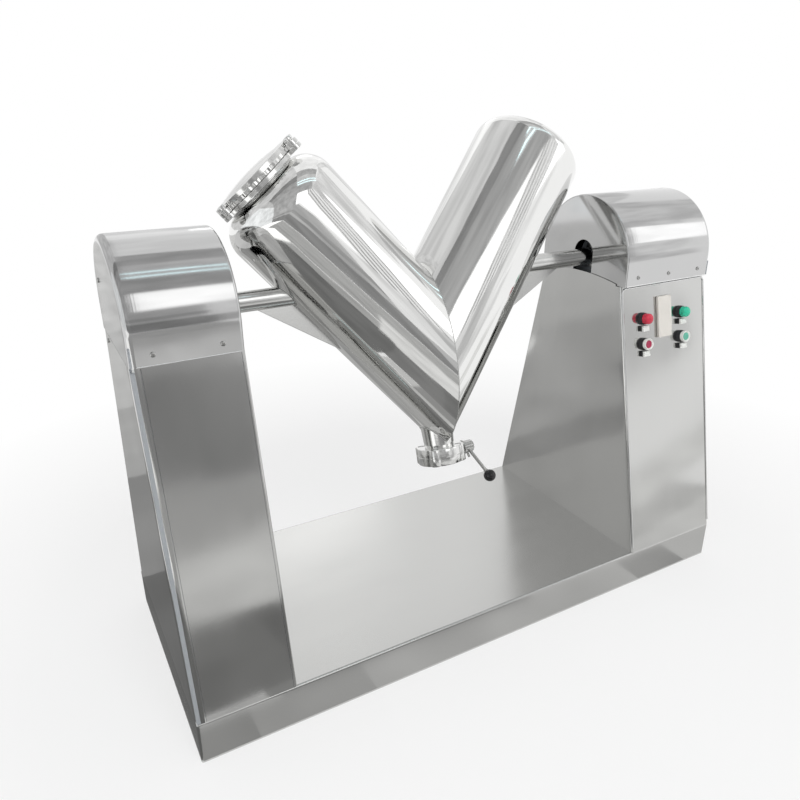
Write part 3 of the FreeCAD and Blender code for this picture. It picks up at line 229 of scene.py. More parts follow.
def smoothed(data, angle=30):
    """Smooth shading that breaks at edges sharper than an angle."""
    data.shade_smooth()
    data.set_sharp_from_angle(angle=radians(angle))


def made(name, mesh):
    """An object of a bmesh."""
    data = bpy.data.meshes.new(name)
    mesh.to_mesh(data)
    mesh.free()
    return put_in(name, data)


def finished(name, mesh, angle=30):
    """An object of a bmesh, its faces turned outwards and shaded smooth."""
    bmesh.ops.recalc_face_normals(mesh, faces=mesh.faces)
    piece = made(name, mesh)
    smoothed(piece.data, angle)
    return piece


def loft_sheet(name, outer, inner, top, arch=0.0):
    """A folded sheet between the base and its top edge, closed along every edge."""
    mesh = bmesh.new()
    low, high = [], []
    for x, side, inset in outer + inner[::-1]:
        low.append(mesh.verts.new((x, side * (half_depth(base_top) - inset), base_top)))
        z = rise(side, inset, top, arch) if arch else top
        high.append(mesh.verts.new((x, side * (half_depth(z) - inset), z)))
    skin(mesh, [low, high])
    last = len(low) - 1
    for i in range(len(outer) - 1):
        mesh.faces.new((high[i], high[i + 1], high[last - 1 - i], high[last - i]))
        mesh.faces.new((low[i + 1], low[i], low[last - i], low[last - 1 - i]))
    return finished(name, mesh)


def fit(piece, material, body, slot, *replaced):
    """Give a piece its finish and its body, in place of its CAD solids; slot is not used."""
    piece.data.materials.clear()
    piece.data.materials.append(material)
    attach(piece, body)
    if replaced:
        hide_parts(*replaced)
    return piece


panel_arch = 0.014
seam_level = skirt_top - 0.0006
for name, x, inward, flange, front, top, arch, bend in (
        ("left_outer_panel", -outer_end, 1, 0.018, True, seam_level, 0.0, 0.0165),
        ("left_inner_panel", left_inner, -1, 0.006, True, skirt_top, panel_arch, 0.0035),
        ("right_inner_panel", right_inner, 1, 0.006, False, skirt_top, panel_arch, 0.0035),
        ("right_outer_panel", outer_end, -1, 0.006, False, seam_level, 0.0, 0.0035)):
    panel = loft_sheet(name + "_sheet", sheet_path(x, inward, flange, front, 0.0, bend),
                       sheet_path(x, inward, flange, front, sheet, bend), top, arch)
    fit(panel, upright_grain, "stand", "satin_sheet", name)


# Flat slabs between the flanges and the tray-shaped front cover of the drive pedestal.
# The slabs are the CAD sheets; the cover gets its bent corners here.
finish_nodes(upright_grain, "left_front_panel", "left_back_panel", "right_back_panel")


def cover_path(off, bend=0.006, cover_return=0.0155):
    """One face of the front cover in plan: a return, a bend, the front, a bend and a return."""
    left = [(right_inner + off, -1, cover_return)] + fold(right_inner, 1, -1, off, bend)
    right = fold(outer_end, -1, -1, off, bend)[::-1] + [(outer_end - off, -1, cover_return)]
    return left + right


cover = loft_sheet("right_front_cover_sheet", cover_path(0.0), cover_path(sheet), seam_level)
fit(cover, upright_grain, "stand", "satin_sheet", "right_front_cover")


# Hoods: half-round sheet wraps welded to flat end faces, the weld ground to a small radius.
# The inner end face is slotted from below so that the hood drops over the shaft.
shaft_level = 0.751
hood_radius = 0.1395
slot_radius = 0.030
slot_rise = 0.009


def hood_arch(radius, centre=shaft_level, count=96):
    """Half-round outline with straight skirts, from the front foot to the back foot."""
    middle = (skirt_top + centre) / 2
    points = [(-radius * cos(turn), centre + radius * sin(turn))
              for turn in (pi * i / count for i in range(count + 1))]
    return [(-radius, skirt_top), (-radius, middle), *points, (radius, middle), (radius, skirt_top)]


def final_mesh(piece):
    """A plain mesh of a piece with its curve or its modifiers worked out."""
    return bpy.data.meshes.new_from_object(piece.evaluated_get(bpy.context.evaluated_depsgraph_get()))


def applied(piece, angle=30):
    """Bake a piece's modifiers into its mesh."""
    data = final_mesh(piece)
    piece.modifiers.clear()
    piece.data = data
    smoothed(data, angle)
    return piece


def hood(name, closed, open_end, outer_corner, inner_corner):
    """A hood from its closed outer end to its slotted inner end, each with its corner radius."""
    inward = 1 if open_end > closed else -1
    stations = [(closed + inward * outer_corner * (1 - cos(turn)), outer_corner * (1 - sin(turn)))
                for turn in (pi / 2 * i / 10 for i in range(11))]
    stations += [(open_end - inward * inner_corner * (1 - cos(turn)), inner_corner * (1 - sin(turn)))
                 for turn in (pi / 2 * (6 - i) / 6 for i in range(7))]
    outlines = [(x, hood_arch(hood_radius - inset)) for x, inset in stations]
    outlines.append((open_end, hood_arch(slot_radius, shaft_level + slot_rise)))
    mesh = bmesh.new()
    rings = [[mesh.verts.new((x, y, z)) for y, z in outline] for x, outline in outlines]
    skin(mesh, rings, looped=False)
    mesh.faces.new(rings[0])
    bmesh.ops.recalc_face_normals(mesh, faces=mesh.faces)
    if sum(face.normal.z * face.calc_area() for face in mesh.faces) < 0:
        bmesh.ops.reverse_faces(mesh, faces=mesh.faces)
    piece = made(name, mesh)
    wall = piece.modifiers.new("sheet", "SOLIDIFY")
    wall.thickness = sheet
    wall.offset = -1
    return applied(piece)


hood_grain = ground_sheet("ground sheet, hood", "yz", (0.60, 0.60, 0.60), 0.10, 0.05, 0.001)
for name, closed, open_end, inner_corner in (("left_hood", -outer_end, -0.4666, 0.006),
                                             ("right_hood", outer_end, 0.3876, 0.003)):
    piece = hood(name + "_sheet", closed, open_end, 0.012, inner_corner)
    fit(piece, hood_grain, "stand", "satin_sheet", name)


# Hems and rim: the hoods' lower edges are rolled, and so is the rim of the front cover.
# Each is a thin round bead that catches one bright line. Its steel is tinted lighter than the sheets', so the
# line is partly a painted highlight.
def bead(name, points, radius, closed):
    """A thin round bead along a line of points."""
    curve = bpy.data.curves.new(name, "CURVE")
    curve.dimensions = "3D"
    curve.bevel_depth = radius
    curve.bevel_resolution = 2
    curve.use_fill_caps = not closed
    line = curve.splines.new("POLY")
    line.points.add(len(points) - 1)
    for point, co in zip(line.points, points):
        point.co = (*co, 1)
    line.use_cyclic_u = closed
    path = put_in(name, curve)
    data = final_mesh(path)
    bpy.data.objects.remove(path)
    data.shade_smooth()
    return put_in(name, data)


# Tinted lighter than the hood and cover sheets the edges are rolled from: a painted highlight along every
# bead.
rolled_edge_painted_bright = ground_sheet("rolled edge painted bright", "x", (0.80, 0.80, 0.80), 0.12, 0.03, 0.0)
hem_level = 0.7064
for name, start, end in (("left_hood", -0.639, -0.4726), ("right_hood", 0.3906, 0.639)):
    for side, word in ((-1, "front"), (1, "back")):
        hem = [(start + (end - start) * i / 8, side * (hood_radius - 0.0002), hem_level) for i in range(9)]
        fit(bead(f"{name}_hem_{word}", hem, 0.0013, False), rolled_edge_painted_bright, "stand", "satin_sheet")
tilt = atan(slope)
panel_frame = Matrix(((1, 0, 0, 0), (0, sin(tilt), -cos(tilt), -base_half_depth),
                      (0, cos(tilt), sin(tilt), base_top), (0, 0, 0, 1)))


def on_cover(across, station):
    """A frame standing on the front cover: x across, y up the slope, z outwards."""
    return panel_frame @ Matrix.Translation((across, station, 0))


def arc(centre, radius, start, end, count=16):
    """Points of an arc, angles in degrees, anticlockwise."""
    return [(centre[0] + radius * cos(turn), centre[1] + radius * sin(turn))
            for turn in (radians(start + (end - start) * i / count) for i in range(count + 1))]


rim_foot, rim_top, rim_corner = 0.013, 0.6150, 0.010
rim_left, rim_right = 0.3882, 0.6468
rim_line = [(rim_left, rim_foot), *arc((rim_left + rim_corner, rim_top), rim_corner, 180, 90, 8),
            *arc((rim_right - rim_corner, rim_top), rim_corner, 90, 0, 8), (rim_right, rim_foot)]
rim_points = [on_cover(across, station) @ Vector((0, 0, 0.0004)) for across, station in rim_line]
fit(bead("front_cover_rim", rim_points, 0.0020, False), rolled_edge_painted_bright, "stand", "satin_sheet")


# Cover screws: stainless pan heads with a cross recess, turned into the rails behind the sheets.
# One head is set on every screw place by a node tree, facing out of its sheet.
def grained(name, tint, metallic, pattern, shade, gloss, bump, peel=None):
    """A finish whose colour, gloss and relief follow one noise; peel scales another for the relief."""
    material, tree, shader, place = new_finish(name, metallic)
    marks = noise(tree, place, *pattern)
    shades(tree, marks, tint, *shade, shader.inputs["Base Color"])
    tree.links.new(spread(tree, marks, *gloss), shader.inputs["Roughness"])
    height = noise(tree, place, peel) if peel else marks
    tree.links.new(relief(tree, height, *bump), shader.inputs["Normal"])
    return material


def turned_steel(name, tint, roughness):
    """Machined stainless steel with faint tool marks."""
    return grained(name, tint, 1.0, (260.0, 4.0), (0.9, 1.06), (roughness * 0.75, roughness * 1.3),
                   (0.12, 0.0003))


screw_steel = turned_steel("screw steel", (0.55, 0.55, 0.54), 0.28)


def turns(count):
    """Equal angles round a full turn."""
    return [2 * pi * i / count for i in range(count)]


def round_line(reaches, height=0.0):
    """Points round an axis at a level, one for each distance from the axis."""
    return [Vector((r * cos(turn), r * sin(turn), height)) for r, turn in zip(reaches, turns(len(reaches)))]


def circle(radius, height, count):
    """Points of a level circle."""
    return round_line([radius] * count, height)


def loft(mesh, rings, place=Matrix(), closed=False, caps=False):
    """Walls from each ring of points to the next in a frame of their own, with or without flat ends."""
    rings = [[mesh.verts.new(place @ Vector(point)) for point in ring] for ring in rings]
    skin(mesh, rings, closed)
    if caps:
        mesh.faces.new(rings[0][::-1])
        mesh.faces.new(rings[-1])


def screw_head():
    """A pan head with a cross recess, standing on z = 0."""
    mesh = bmesh.new()
    radius, height, count = 0.0045, 0.0024, 24
    rings = [circle(radius * wide, height * tall, count)
             for wide, tall in ((0.97, 0.0), (1.0, 0.35), (0.9, 0.72), (0.66, 0.93), (0.42, 1.0))]
    arms = [max(abs(cos(turn)), abs(sin(turn))) ** 10 for turn in turns(count)]
    rings.append(round_line([radius * (0.12 + 0.28 * arm) for arm in arms], height * 0.4))
    loft(mesh, rings, caps=True)
    return finished("screw_head_pattern", mesh, angle=40)


def set_screws(name, places, pattern):
    """Instances of one head at each place, its axis along the place's outward direction."""
    data = bpy.data.meshes.new(name)
    data.from_pydata([spot for spot, way in places], [], [])
    facing = data.attributes.new("facing", "FLOAT_VECTOR", "POINT")
    for i, (spot, way) in enumerate(places):
        facing.data[i].vector = way
    piece = put_in(name, data)
    tree = bpy.data.node_groups.new("set screws", "GeometryNodeTree")
    sockets = {}
    for word, kind in (("Geometry", "Geometry"), ("Head", "Object"), ("Size", "Float"),
                       ("Finish", "Material")):
        sockets[word] = tree.interface.new_socket(word, in_out="INPUT", socket_type="NodeSocket" + kind)
    tree.interface.new_socket("Geometry", in_out="OUTPUT", socket_type="NodeSocketGeometry")
    start = tree.nodes.new("NodeGroupInput")
    end = tree.nodes.new("NodeGroupOutput")
    head = tree.nodes.new("GeometryNodeObjectInfo")
    way = tree.nodes.new("GeometryNodeInputNamedAttribute")
    way.data_type = "FLOAT_VECTOR"
    way.inputs["Name"].default_value = "facing"
    turn = tree.nodes.new("FunctionNodeAlignRotationToVector")
    turn.axis = "Z"
    put = tree.nodes.new("GeometryNodeInstanceOnPoints")
    real = tree.nodes.new("GeometryNodeRealizeInstances")
    coat = tree.nodes.new("GeometryNodeSetMaterial")
    for one, out, two, into in (
            (start, "Geometry", put, "Points"), (start, "Head", head, "Object"),
            (head, "Geometry", put, "Instance"), (way, "Attribute", turn, "Vector"),
            (turn, "Rotation", put, "Rotation"), (start, "Size", put, "Scale"),
            (put, "Instances", real, "Geometry"), (real, "Geometry", coat, "Geometry"),
            (start, "Finish", coat, "Material"), (coat, "Geometry", end, "Geometry")):
        tree.links.new(one.outputs[out], two.inputs[into])
    step = piece.modifiers.new("set screws", "NODES")
    step.node_group = tree
    for word, value in (("Head", pattern), ("Size", 1.0), ("Finish", screw_steel)):
        step[sockets[word].identifier] = value
    result = final_mesh(piece)
    piece.modifiers.clear()
    piece.data = result
    return piece


head_pattern = screw_head()
screw_places = []
for x in (-0.612, -0.502, 0.423, 0.5175, 0.612):
    for side in (-1, 1):
        screw_places.append(((x, side * hood_radius, 0.724), (0, side, 0)))
for x, way, side in ((-outer_end, -1, 1), (outer_end, 1, -1), (outer_end, 1, 1)):
    for z in (0.692, 0.801):
        screw_places.append(((x, side * 0.084, z), (way, 0, 0)))
cover_screws = set_screws("cover_screw_heads", screw_places, head_pattern)
bpy.data.objects.remove(head_pattern)
fit(cover_screws, screw_steel, "stand", "machined_steel", "cover_screws")


# Pedestal insides: welded angle frames, bearing plates, cast bearing housings and the gear drive.
# They are the CAD solids, in primer, casting enamel, motor enamel and machined steel.
def enamel(name, tint, roughness, orange_peel):
    """Sprayed enamel or primer over steel or a casting."""
    return grained(name, tint, 0.0, (9.0, 6.0), (0.86, 1.12), (roughness - 0.08, roughness + 0.10),
                   (0.25, 0.0005), orange_peel)


bare_steel = turned_steel("bare turned steel", (0.58, 0.58, 0.57), 0.25)
finish_nodes(enamel("frame primer", (0.33, 0.35, 0.37), 0.6, 300.0), "left_pedestal_frame",
             "right_pedestal_frame", "left_bearing_plate", "right_bearing_plate", "torque_arm")
finish_nodes(enamel("casting enamel", (0.25, 0.27, 0.29), 0.45, 160.0), "left_bearing_housing",
             "right_bearing_housing", "reducer_housing")
finish_nodes(enamel("motor enamel", (0.16, 0.25, 0.34), 0.4, 240.0), "motor")
finish_nodes(bare_steel, "bearing_outer_races", "bearing_inner_races", "bearing_bolts",
             "reducer_hollow_shaft", "shaft_key", "shaft_end_cap")


# Vessel legs: two rolled and mirror-polished cylinders, mitred to a V, each with a dished end.
# The shells are 3 mm thick; the mitre weld is ground back to a fine polished bead.
leg_radius = 0.118
leg_wall = 0.003
leg_angle = radians(39.2)
crotch = Vector((-0.063, 0, -0.1565))
vessel_place = Matrix.Translation((0, 0, shaft_level)) @ Matrix.Rotation(radians(-16.8), 4, "X")
pipe_radii = (0.036, 0.031)
pipe_levels = (-0.2712, -0.3482)


def polished_steel(name, tint, roughness, ripple, along):
    """Mirror-polished stainless with the faint long ripples that rolling leaves."""
    finish = material, tree, shader, place = new_finish(name, 1.0)
    ripples = noise(tree, stretched(tree, place, (30, 30, 3.0), along), 1.0, 1.5)
    haze = noise(tree, place, 14.0, 5.0)
    gloss = (roughness, roughness + 0.07, 0.35, 0.75)
    return calm_metal(finish, tint, haze, 0.96, 1.03, gloss, ripples, (ripple * 0.3, ripple), 0.004)


def pipe_radius(z):
    """The spout's outer radius at a level of the vessel."""
    share = (z - pipe_levels[0]) / (pipe_levels[1] - pipe_levels[0])
    return pipe_radii[0] + (pipe_radii[1] - pipe_radii[0]) * share


def leg_point(side, t, radius, turn):
    """A point of a leg in the row frame, from its station, radius and turn about its axis."""
    along = Vector((side * sin(leg_angle), 0, cos(leg_angle)))
    out = Vector((side * cos(leg_angle), 0, -sin(leg_angle)))
    local = crotch + along * t + out * (radius * cos(turn)) + Vector((0, radius * sin(turn), 0))
    return vessel_place @ local


def leg_start(radius, turn):
    """Where a line along the leg starts: at the mitre plane, or at the discharge pipe's wall."""
    start = -radius * cos(turn) / tan(leg_angle)
    across = radius * sin(turn)
    if cos(turn) > 0 and abs(across) < pipe_radii[0]:
        for i in range(4):
            z = crotch.z + start * cos(leg_angle) - radius * cos(turn) * sin(leg_angle)
            rim = pipe_radius(z)
            if abs(across) >= rim:
                break
            reach = sqrt(rim ** 2 - across ** 2)
            start = (reach - radius * cos(turn) * cos(leg_angle)) / sin(leg_angle)
    return start


def dish_profile(radius, knuckle, crown, length, hole):
    """(station, radius) points of a dished end, from the cylinder to its hole or its pole."""
    points = []
    flat = radius - knuckle
    for i in range(1, 17):
        turn = pi / 2 * i / 16
        r = flat + knuckle * cos(turn)
        if r <= hole:
            break
        points.append((length + knuckle * sin(turn), r))
    if hole:
        points.append((length + sqrt(knuckle ** 2 - (hole - flat) ** 2), hole))
        return points
    sphere = (flat ** 2 + crown ** 2) / (2 * crown)
    for i in range(1, 13):
        r = flat * (1 - i / 12)
        points.append((length + knuckle + crown - sphere + sqrt(sphere ** 2 - r ** 2), max(r, 1e-5)))
    return points


def leg_shell(name, side, length, knuckle, crown, hole):
    """Outer and inner skins of one leg with its dished end, joined at the mitre and at the hole."""
    mesh = bmesh.new()
    around = turns(256)
    skins = []
    for inset in (0.0, leg_wall):
        radius = leg_radius - inset
        starts = [leg_start(radius, turn) for turn in around]
        rings = []
        for share in (0, 0.08, 0.25, 0.5, 0.75, 0.92, 1.0):
            rings.append([mesh.verts.new(leg_point(side, start + (length - start) * share, radius, turn))
                          for start, turn in zip(starts, around)])
        for t, r in dish_profile(radius, knuckle - inset, crown, length, hole):
            rings.append([mesh.verts.new(leg_point(side, t, r, turn)) for turn in around])
        skin(mesh, rings)
        skins.append(rings)
    for end in ((0, -1) if hole else (0,)):
        skin(mesh, [skins[0][end], skins[1][end]])
    bmesh.ops.remove_doubles(mesh, verts=mesh.verts, dist=1e-5)
    return finished(name, mesh, angle=50)


left_polish = polished_steel("polished leg, left", (0.86, 0.86, 0.85), 0.035, 0.10, (0, leg_angle, 0))
right_polish = polished_steel("polished leg, right", (0.86, 0.86, 0.85), 0.05, 0.10, (0, -leg_angle, 0))
left_leg = leg_shell("left_leg_shell", -1, 0.404, 0.055, 0.007, 0.073)
right_leg = leg_shell("right_leg_shell", 1, 0.493, 0.032, 0.007, 0.0)
fit(left_leg, left_polish, "vessel", "polished_steel", "left_leg", "left_dished_end")
fit(right_leg, right_polish, "vessel", "polished_steel", "right_leg", "right_dished_end")


weld_steel = turned_steel("ground weld", (0.62, 0.62, 0.61), 0.3)
seam = [leg_point(-1, leg_start(leg_radius, turn), leg_radius, turn)
        for turn in turns(256)
        if abs(leg_radius * sin(turn)) > 0.0325 or cos(turn) < 0]
first = max(range(len(seam)), key=lambda i: (seam[i] - seam[i - 1]).length)
mitre_bead = bead("mitre_weld", seam[first:] + seam[:first], 0.0009, False)
fit(mitre_bead, weld_steel, "vessel", "polished_steel")


# Shaft stubs and gussets: turned bar welded to the legs, with a triangular plate under each.
# The visible bar is ground bright; the welds round its foot are left as a small bead.
shaft_radius = 0.019
shaft_chamfer = 0.0015
shaft_steel = polished_steel("ground shaft", (0.70, 0.70, 0.69), 0.14, 0.03, (0, pi / 2, 0))


def shaft_foot(side, start, end, turn):
    """Where a line along the shaft meets the middle of the leg's wall."""
    low, high = start, end
    for step in range(40):
        middle = (low + high) / 2
        local = vessel_place.inverted() @ Vector((middle, shaft_radius * cos(turn),
                                                  shaft_level + shaft_radius * sin(turn))) - crotch
        out = local.x * side * cos(leg_angle) - local.z * sin(leg_angle)
        if hypot(out, local.y) < leg_radius - leg_wall / 2:
            low = middle
        else:
            high = middle
    return low


def shaft_stub(name, side, start, end):
    """A stub from the leg's wall, where its foot follows the cylinder, to its chamfered end."""
    around = turns(64)
    feet = [shaft_foot(side, start, end, turn) for turn in around]
    shoulder = end - side * shaft_chamfer
    lines = [([foot + (shoulder - foot) * share for foot in feet], shaft_radius) for share in (0, 0.5, 1)]
    lines.append(([end] * len(around), shaft_radius - shaft_chamfer))
    lines.append((feet, shaft_radius + 0.0008))
    *rings, weld = [[Vector((x, radius * cos(turn), shaft_level + radius * sin(turn)))
                     for x, turn in zip(stations, around)] for stations, radius in lines]
    mesh = bmesh.new()
    loft(mesh, rings, caps=True)
    return finished(name, mesh, angle=25), weld


left_stub, left_foot = shaft_stub("left_shaft_bar", -1, -0.25, -0.591)
right_stub, right_foot = shaft_stub("right_shaft_bar", 1, 0.12, 0.620)
fit(left_stub, shaft_steel, "vessel", "polished_steel", "left_shaft")
fit(right_stub, shaft_steel, "vessel", "polished_steel", "right_shaft")
for name, line in (("left_shaft_weld", left_foot), ("right_shaft_weld", right_foot)):
    fit(bead(name, line, 0.0026, True), weld_steel, "vessel", "polished_steel")
finish_nodes(ground_sheet("gusset plate", "x", (0.62, 0.62, 0.61), 0.22, 0.06), "shaft_gussets")


# Discharge pipe: a short tapered spout welded into the bottom of the V.
# Its upper edge follows both cylinders, with a small bead round the joint.
def pipe_top(turn, skin_radius, inset):
    """The level at which a line up the spout meets a leg's skin."""
    z = pipe_levels[0]
    for i in range(5):
        rim = pipe_radius(z) - inset
        reach = abs(rim * cos(turn)) * cos(leg_angle)
        z = crotch.z + (reach - sqrt(skin_radius ** 2 - (rim * sin(turn)) ** 2)) / sin(leg_angle)
    return z


def pipe_point(turn, z, grow):
    """A point on the spout, at a distance outside its outer face."""
    rim = pipe_radius(z) + grow
    return vessel_place @ Vector((crotch.x + rim * cos(turn), rim * sin(turn), z))


spout_lines = []
for inset, shares in ((0.0, (0, 0.35, 0.7, 1)), (0.003, (1, 0))):
    tops = [(turn, pipe_top(turn, leg_radius - leg_wall, inset)) for turn in turns(128)]
    spout_lines += [[pipe_point(turn, top + (pipe_levels[1] - top) * share, -inset) for turn, top in tops]
                    for share in shares]
spout_mesh = bmesh.new()
loft(spout_mesh, spout_lines, closed=True)
spout_steel = polished_steel("polished spout", (0.80, 0.80, 0.79), 0.09, 0.05, (0, 0, 0))
spout = finished("discharge_spout", spout_mesh, angle=50)
fit(spout, spout_steel, "vessel", "polished_steel", "discharge_pipe")
joint_line = [pipe_point(turn, pipe_top(turn, leg_radius, 0.0), 0.0004) for turn in turns(96)]
fit(bead("spout_weld", joint_line, 0.0018, True), weld_steel, "vessel", "polished_steel")


# Charging neck: a short rolled tube with a thick flange, two screw lugs and two hinge ears.
# Turned and milled stainless, polished like the legs, with small broken edges.
left_frame = vessel_place @ Matrix.Translation(crotch) @ Matrix.Rotation(-leg_angle, 4, "Y")
neck_top = 0.470
lid_low = neck_top + 0.0008
hinge_bearing = radians(80)
screw_bearings = (radians(200), radians(320))
screw_circle = 0.097
hinge_circle = 0.102


def add_turned(mesh, profile, place, count=96, closed=False):
    """Revolve (radius, height) points about a frame's own z axis."""
    rings = []
    for r, h in profile:
        points = [Vector((0, 0, h))] if r < 1e-6 else circle(r, h, count)
        rings.append([mesh.verts.new(place @ point) for point in points])
    if closed:
        rings.append(rings[0])
    for one, two in zip(rings, rings[1:]):
        if len(one) == len(two):
            skin(mesh, [one, two])
            continue
        for i in range(count):
            j = (i + 1) % count
            mesh.faces.new((one[0], two[j], two[i]) if len(one) == 1 else (one[i], one[j], two[0]))


def add_slab(mesh, outline, low, high, place, edge=0.0006):
    """Extrude an outline along a frame's own z axis, with its edges broken."""
    points = [Vector(point[:2]) for point in outline]
    inner = []
    for before, here, after in zip(points[-1:] + points, points, points[1:] + points[:1]):
        way = (here - before).normalized() + (after - here).normalized()
        way = (way if way.length > 1e-9 else after - here).normalized()
        inner.append(here + Vector((-way.y, way.x)) * edge)
    levels = ((inner, low), (points, low + edge), (points, high - edge), (inner, high))
    loft(mesh, [[(x, y, h) for x, y in line] for line, h in levels], place, caps=True)


def at_bearing(bearing, radius, height):
    """A frame on the lid's circle: x outwards, y round the circle, z along the neck."""
    return left_frame @ Matrix.Rotation(bearing, 4, "Z") @ Matrix.Translation((radius, 0, height))


def leaf_frame(offset):
    """A frame for a hinge leaf's side view: its x outwards, its y along the neck."""
    return at_bearing(hinge_bearing, hinge_circle, neck_top) @ Matrix.Translation((0, offset, 0)) \
        @ Matrix.Rotation(pi / 2, 4, "X")


neck_mesh = bmesh.new()
add_turned(neck_mesh, [(0.070, 0.4565), (0.073, 0.4565), (0.073, 0.4614), (0.0735, 0.462), (0.0882, 0.462),
                       (0.089, 0.4628), (0.089, 0.4692), (0.0882, 0.470), (0.0706, 0.470), (0.070, 0.4694)],
           left_frame, 160, closed=True)
neck_lug = [(-0.015, -0.012), *arc((0, 0), 0.012, -90, 90), (-0.015, 0.012)]
for bearing in screw_bearings:
    add_slab(neck_mesh, neck_lug, 0.4621, 0.4699, at_bearing(bearing, screw_circle, 0))
for offset in (-0.0169, 0.0169):
    low_leaf = [(-0.016, -0.0078), (0.0, -0.0078), *arc((0, 0), 0.0088, -62, 0, 12), (0.0088, 0.0),
                (-0.016, 0.0)]
    add_slab(neck_mesh, low_leaf, -0.0045, 0.0045, leaf_frame(offset), 0.0005)
neck_steel = polished_steel("polished fittings", (0.80, 0.80, 0.79), 0.10, 0.02, (0, leg_angle, 0))
neck = finished("charging_neck_flange", neck_mesh, angle=28)
fit(neck, neck_steel, "vessel", "polished_steel", "charging_neck")
ring_weld = [left_frame @ point for point in circle(0.0734, 0.4586, 96)]
fit(bead("neck_weld", ring_weld, 0.0016, True), weld_steel, "vessel", "polished_steel")
finish_nodes(bare_steel, "lid_hinge_pin")


# Charging lid: a spun cap pressed over a thick machined rim, milled with grip notches round its foot.
# It carries two screw lugs and the middle leaf of its hinge.
lid_mesh = bmesh.new()
lid_high = lid_low + 0.016
crown_reach, crown_rise = 0.075, 0.007
crown_sphere = (crown_reach ** 2 + crown_rise ** 2) / (2 * crown_rise)
lid_profile = [(0.0, lid_high - 0.005), (0.0745, lid_high - 0.005), (0.075, lid_high - 0.0055),
               (0.075, lid_low + 0.0005), (0.0755, lid_low), (0.0768, lid_low), (0.0770, lid_low + 0.0024),
               (0.0840, lid_low + 0.0024), (0.0842, lid_low), (0.0870, lid_low), (0.0874, lid_low + 0.0005),
               (0.0874, lid_low + 0.0062), (0.0884, lid_low + 0.0070), (0.0890, lid_low + 0.0078),
               (0.0890, lid_high - 0.0008), (0.0882, lid_high), (0.0762, lid_high)]
for i in range(13):
    r = crown_reach * (1 - i / 12)
    lid_profile.append((r, lid_high + crown_rise - crown_sphere + sqrt(crown_sphere ** 2 - r ** 2)))
add_turned(lid_mesh, lid_profile, left_frame, 192)
lid_lug = [(-0.012, -0.0118), (-0.004, -0.0118), *arc((0, 0), 0.012, -80, 80, 20), (-0.004, 0.0118),
           (-0.012, 0.0118)]
for bearing in screw_bearings:
    add_slab(lid_mesh, lid_lug, lid_low + 0.0002, lid_low + 0.009, at_bearing(bearing, screw_circle, 0))
leaf_top = lid_high - neck_top - 0.002
upper_leaf = [(-0.0145, leaf_top), (-0.0145, 0.0018), (-0.0087, 0.0018), *arc((0, 0), 0.0089, 168, 430, 32),
              (-0.004, leaf_top)]
add_slab(lid_mesh, upper_leaf, -0.012, 0.012, leaf_frame(0), 0.0006)
lid = finished("charging_lid_cap", lid_mesh, angle=28)
fit(lid, neck_steel, "lid", "polished_steel", "charging_lid")


def notched_band(name, radius, low, high, teeth, depth, place):
    """A thin band of milled teeth round a rim."""
    rings = []
    count = teeth * 4
    for edge, h in ((True, low), (False, low + 0.0004), (False, high - 0.0004), (True, high)):
        ring = []
        for i in range(count):
            r = radius - 0.0010 if edge else radius + (depth if i % 4 in (0, 1) else 0)
            turn = 2 * pi * (i + (0.25 if i % 4 in (0, 2) else -0.25)) / count
            ring.append((r * cos(turn), r * sin(turn), h))
        rings.append(ring)
    mesh = bmesh.new()
    loft(mesh, rings, place, closed=True)
    return finished(name, mesh, angle=20)


teeth = notched_band("lid_grip_band", 0.0870, lid_low + 0.0004, lid_low + 0.0084, 44, 0.0021, left_frame)
fit(teeth, neck_steel, "lid", "polished_steel")


# Lid gasket and valve seat: moulded pale silicone rings.
# The gasket lies in the rim's groove and the seat between the valve's halves.
def turned(name, profile, place, count, angle, closed=False):
    """A turned piece on its own."""
    mesh = bmesh.new()
    add_turned(mesh, profile, place, count, closed)
    return finished(name, mesh, angle)


silicone = grained("pale silicone", (0.78, 0.78, 0.74), 0.0, (150.0,), (0.93, 1.0), (0.55, 0.55),
                   (0.15, 0.0003))
gasket_profile = [(0.0773, 0.4703), (0.0837, 0.4703), (0.0840, 0.4707), (0.0840, 0.4729), (0.0837, 0.4733),
                  (0.0773, 0.4733), (0.0770, 0.4729), (0.0770, 0.4707)]
gasket = turned("lid_gasket_ring", gasket_profile, left_frame, 160, 35, closed=True)
fit(gasket, silicone, "lid", "seal_rubber", "lid_gasket")
finish_nodes(silicone, "valve_seat")


# Closing screws: turned grips with a straight knurl, a shank through the lid's lug and a thin tip.
# One screw is the same as the other; each rides on its own body.
def hand_screw(name, bearing, body, node):
    """A screw's tip, shank and collar in one turned piece, with its knurled grip on top."""
    mesh = bmesh.new()
    place = at_bearing(bearing, screw_circle, 0)
    foot = lid_low + 0.009
    grip_foot = foot + 0.0018
    collar = 0.0070
    add_turned(mesh, [(0.0, 0.4624), (0.0030, 0.4624), (0.0034, 0.4628), (0.0034, 0.4703), (0.0050, 0.4703),
                      (0.0050, foot), (0.0064, foot), (collar, foot + 0.0006), (collar, grip_foot)],
               place, 48)
    grip = ((collar, grip_foot, 0), (0.0080, foot + 0.0021, 0), (0.0088, foot + 0.0029, 0.0004),
            (0.0088, foot + 0.0071, 0.0004), (0.0080, foot + 0.0086, 0), (0.0060, foot + 0.0094, 0),
            (0.0030, foot + 0.0097, 0))
    loft(mesh, [round_line([r - knurl * (i % 4 > 1) for i in range(96)], h) for r, h, knurl in grip],
         place, caps=True)
    mesh.faces.new([mesh.verts.new(place @ point) for point in circle(collar, grip_foot, 48)])
    bmesh.ops.remove_doubles(mesh, verts=mesh.verts, dist=1e-6)
    fit(finished(name, mesh, angle=24), neck_steel, body, "machined_steel", node)


hand_screw("outer_hand_screw", screw_bearings[0], "outer_screw", "lid_screw_outer")
hand_screw("inner_hand_screw", screw_bearings[1], "inner_screw", "lid_screw_inner")


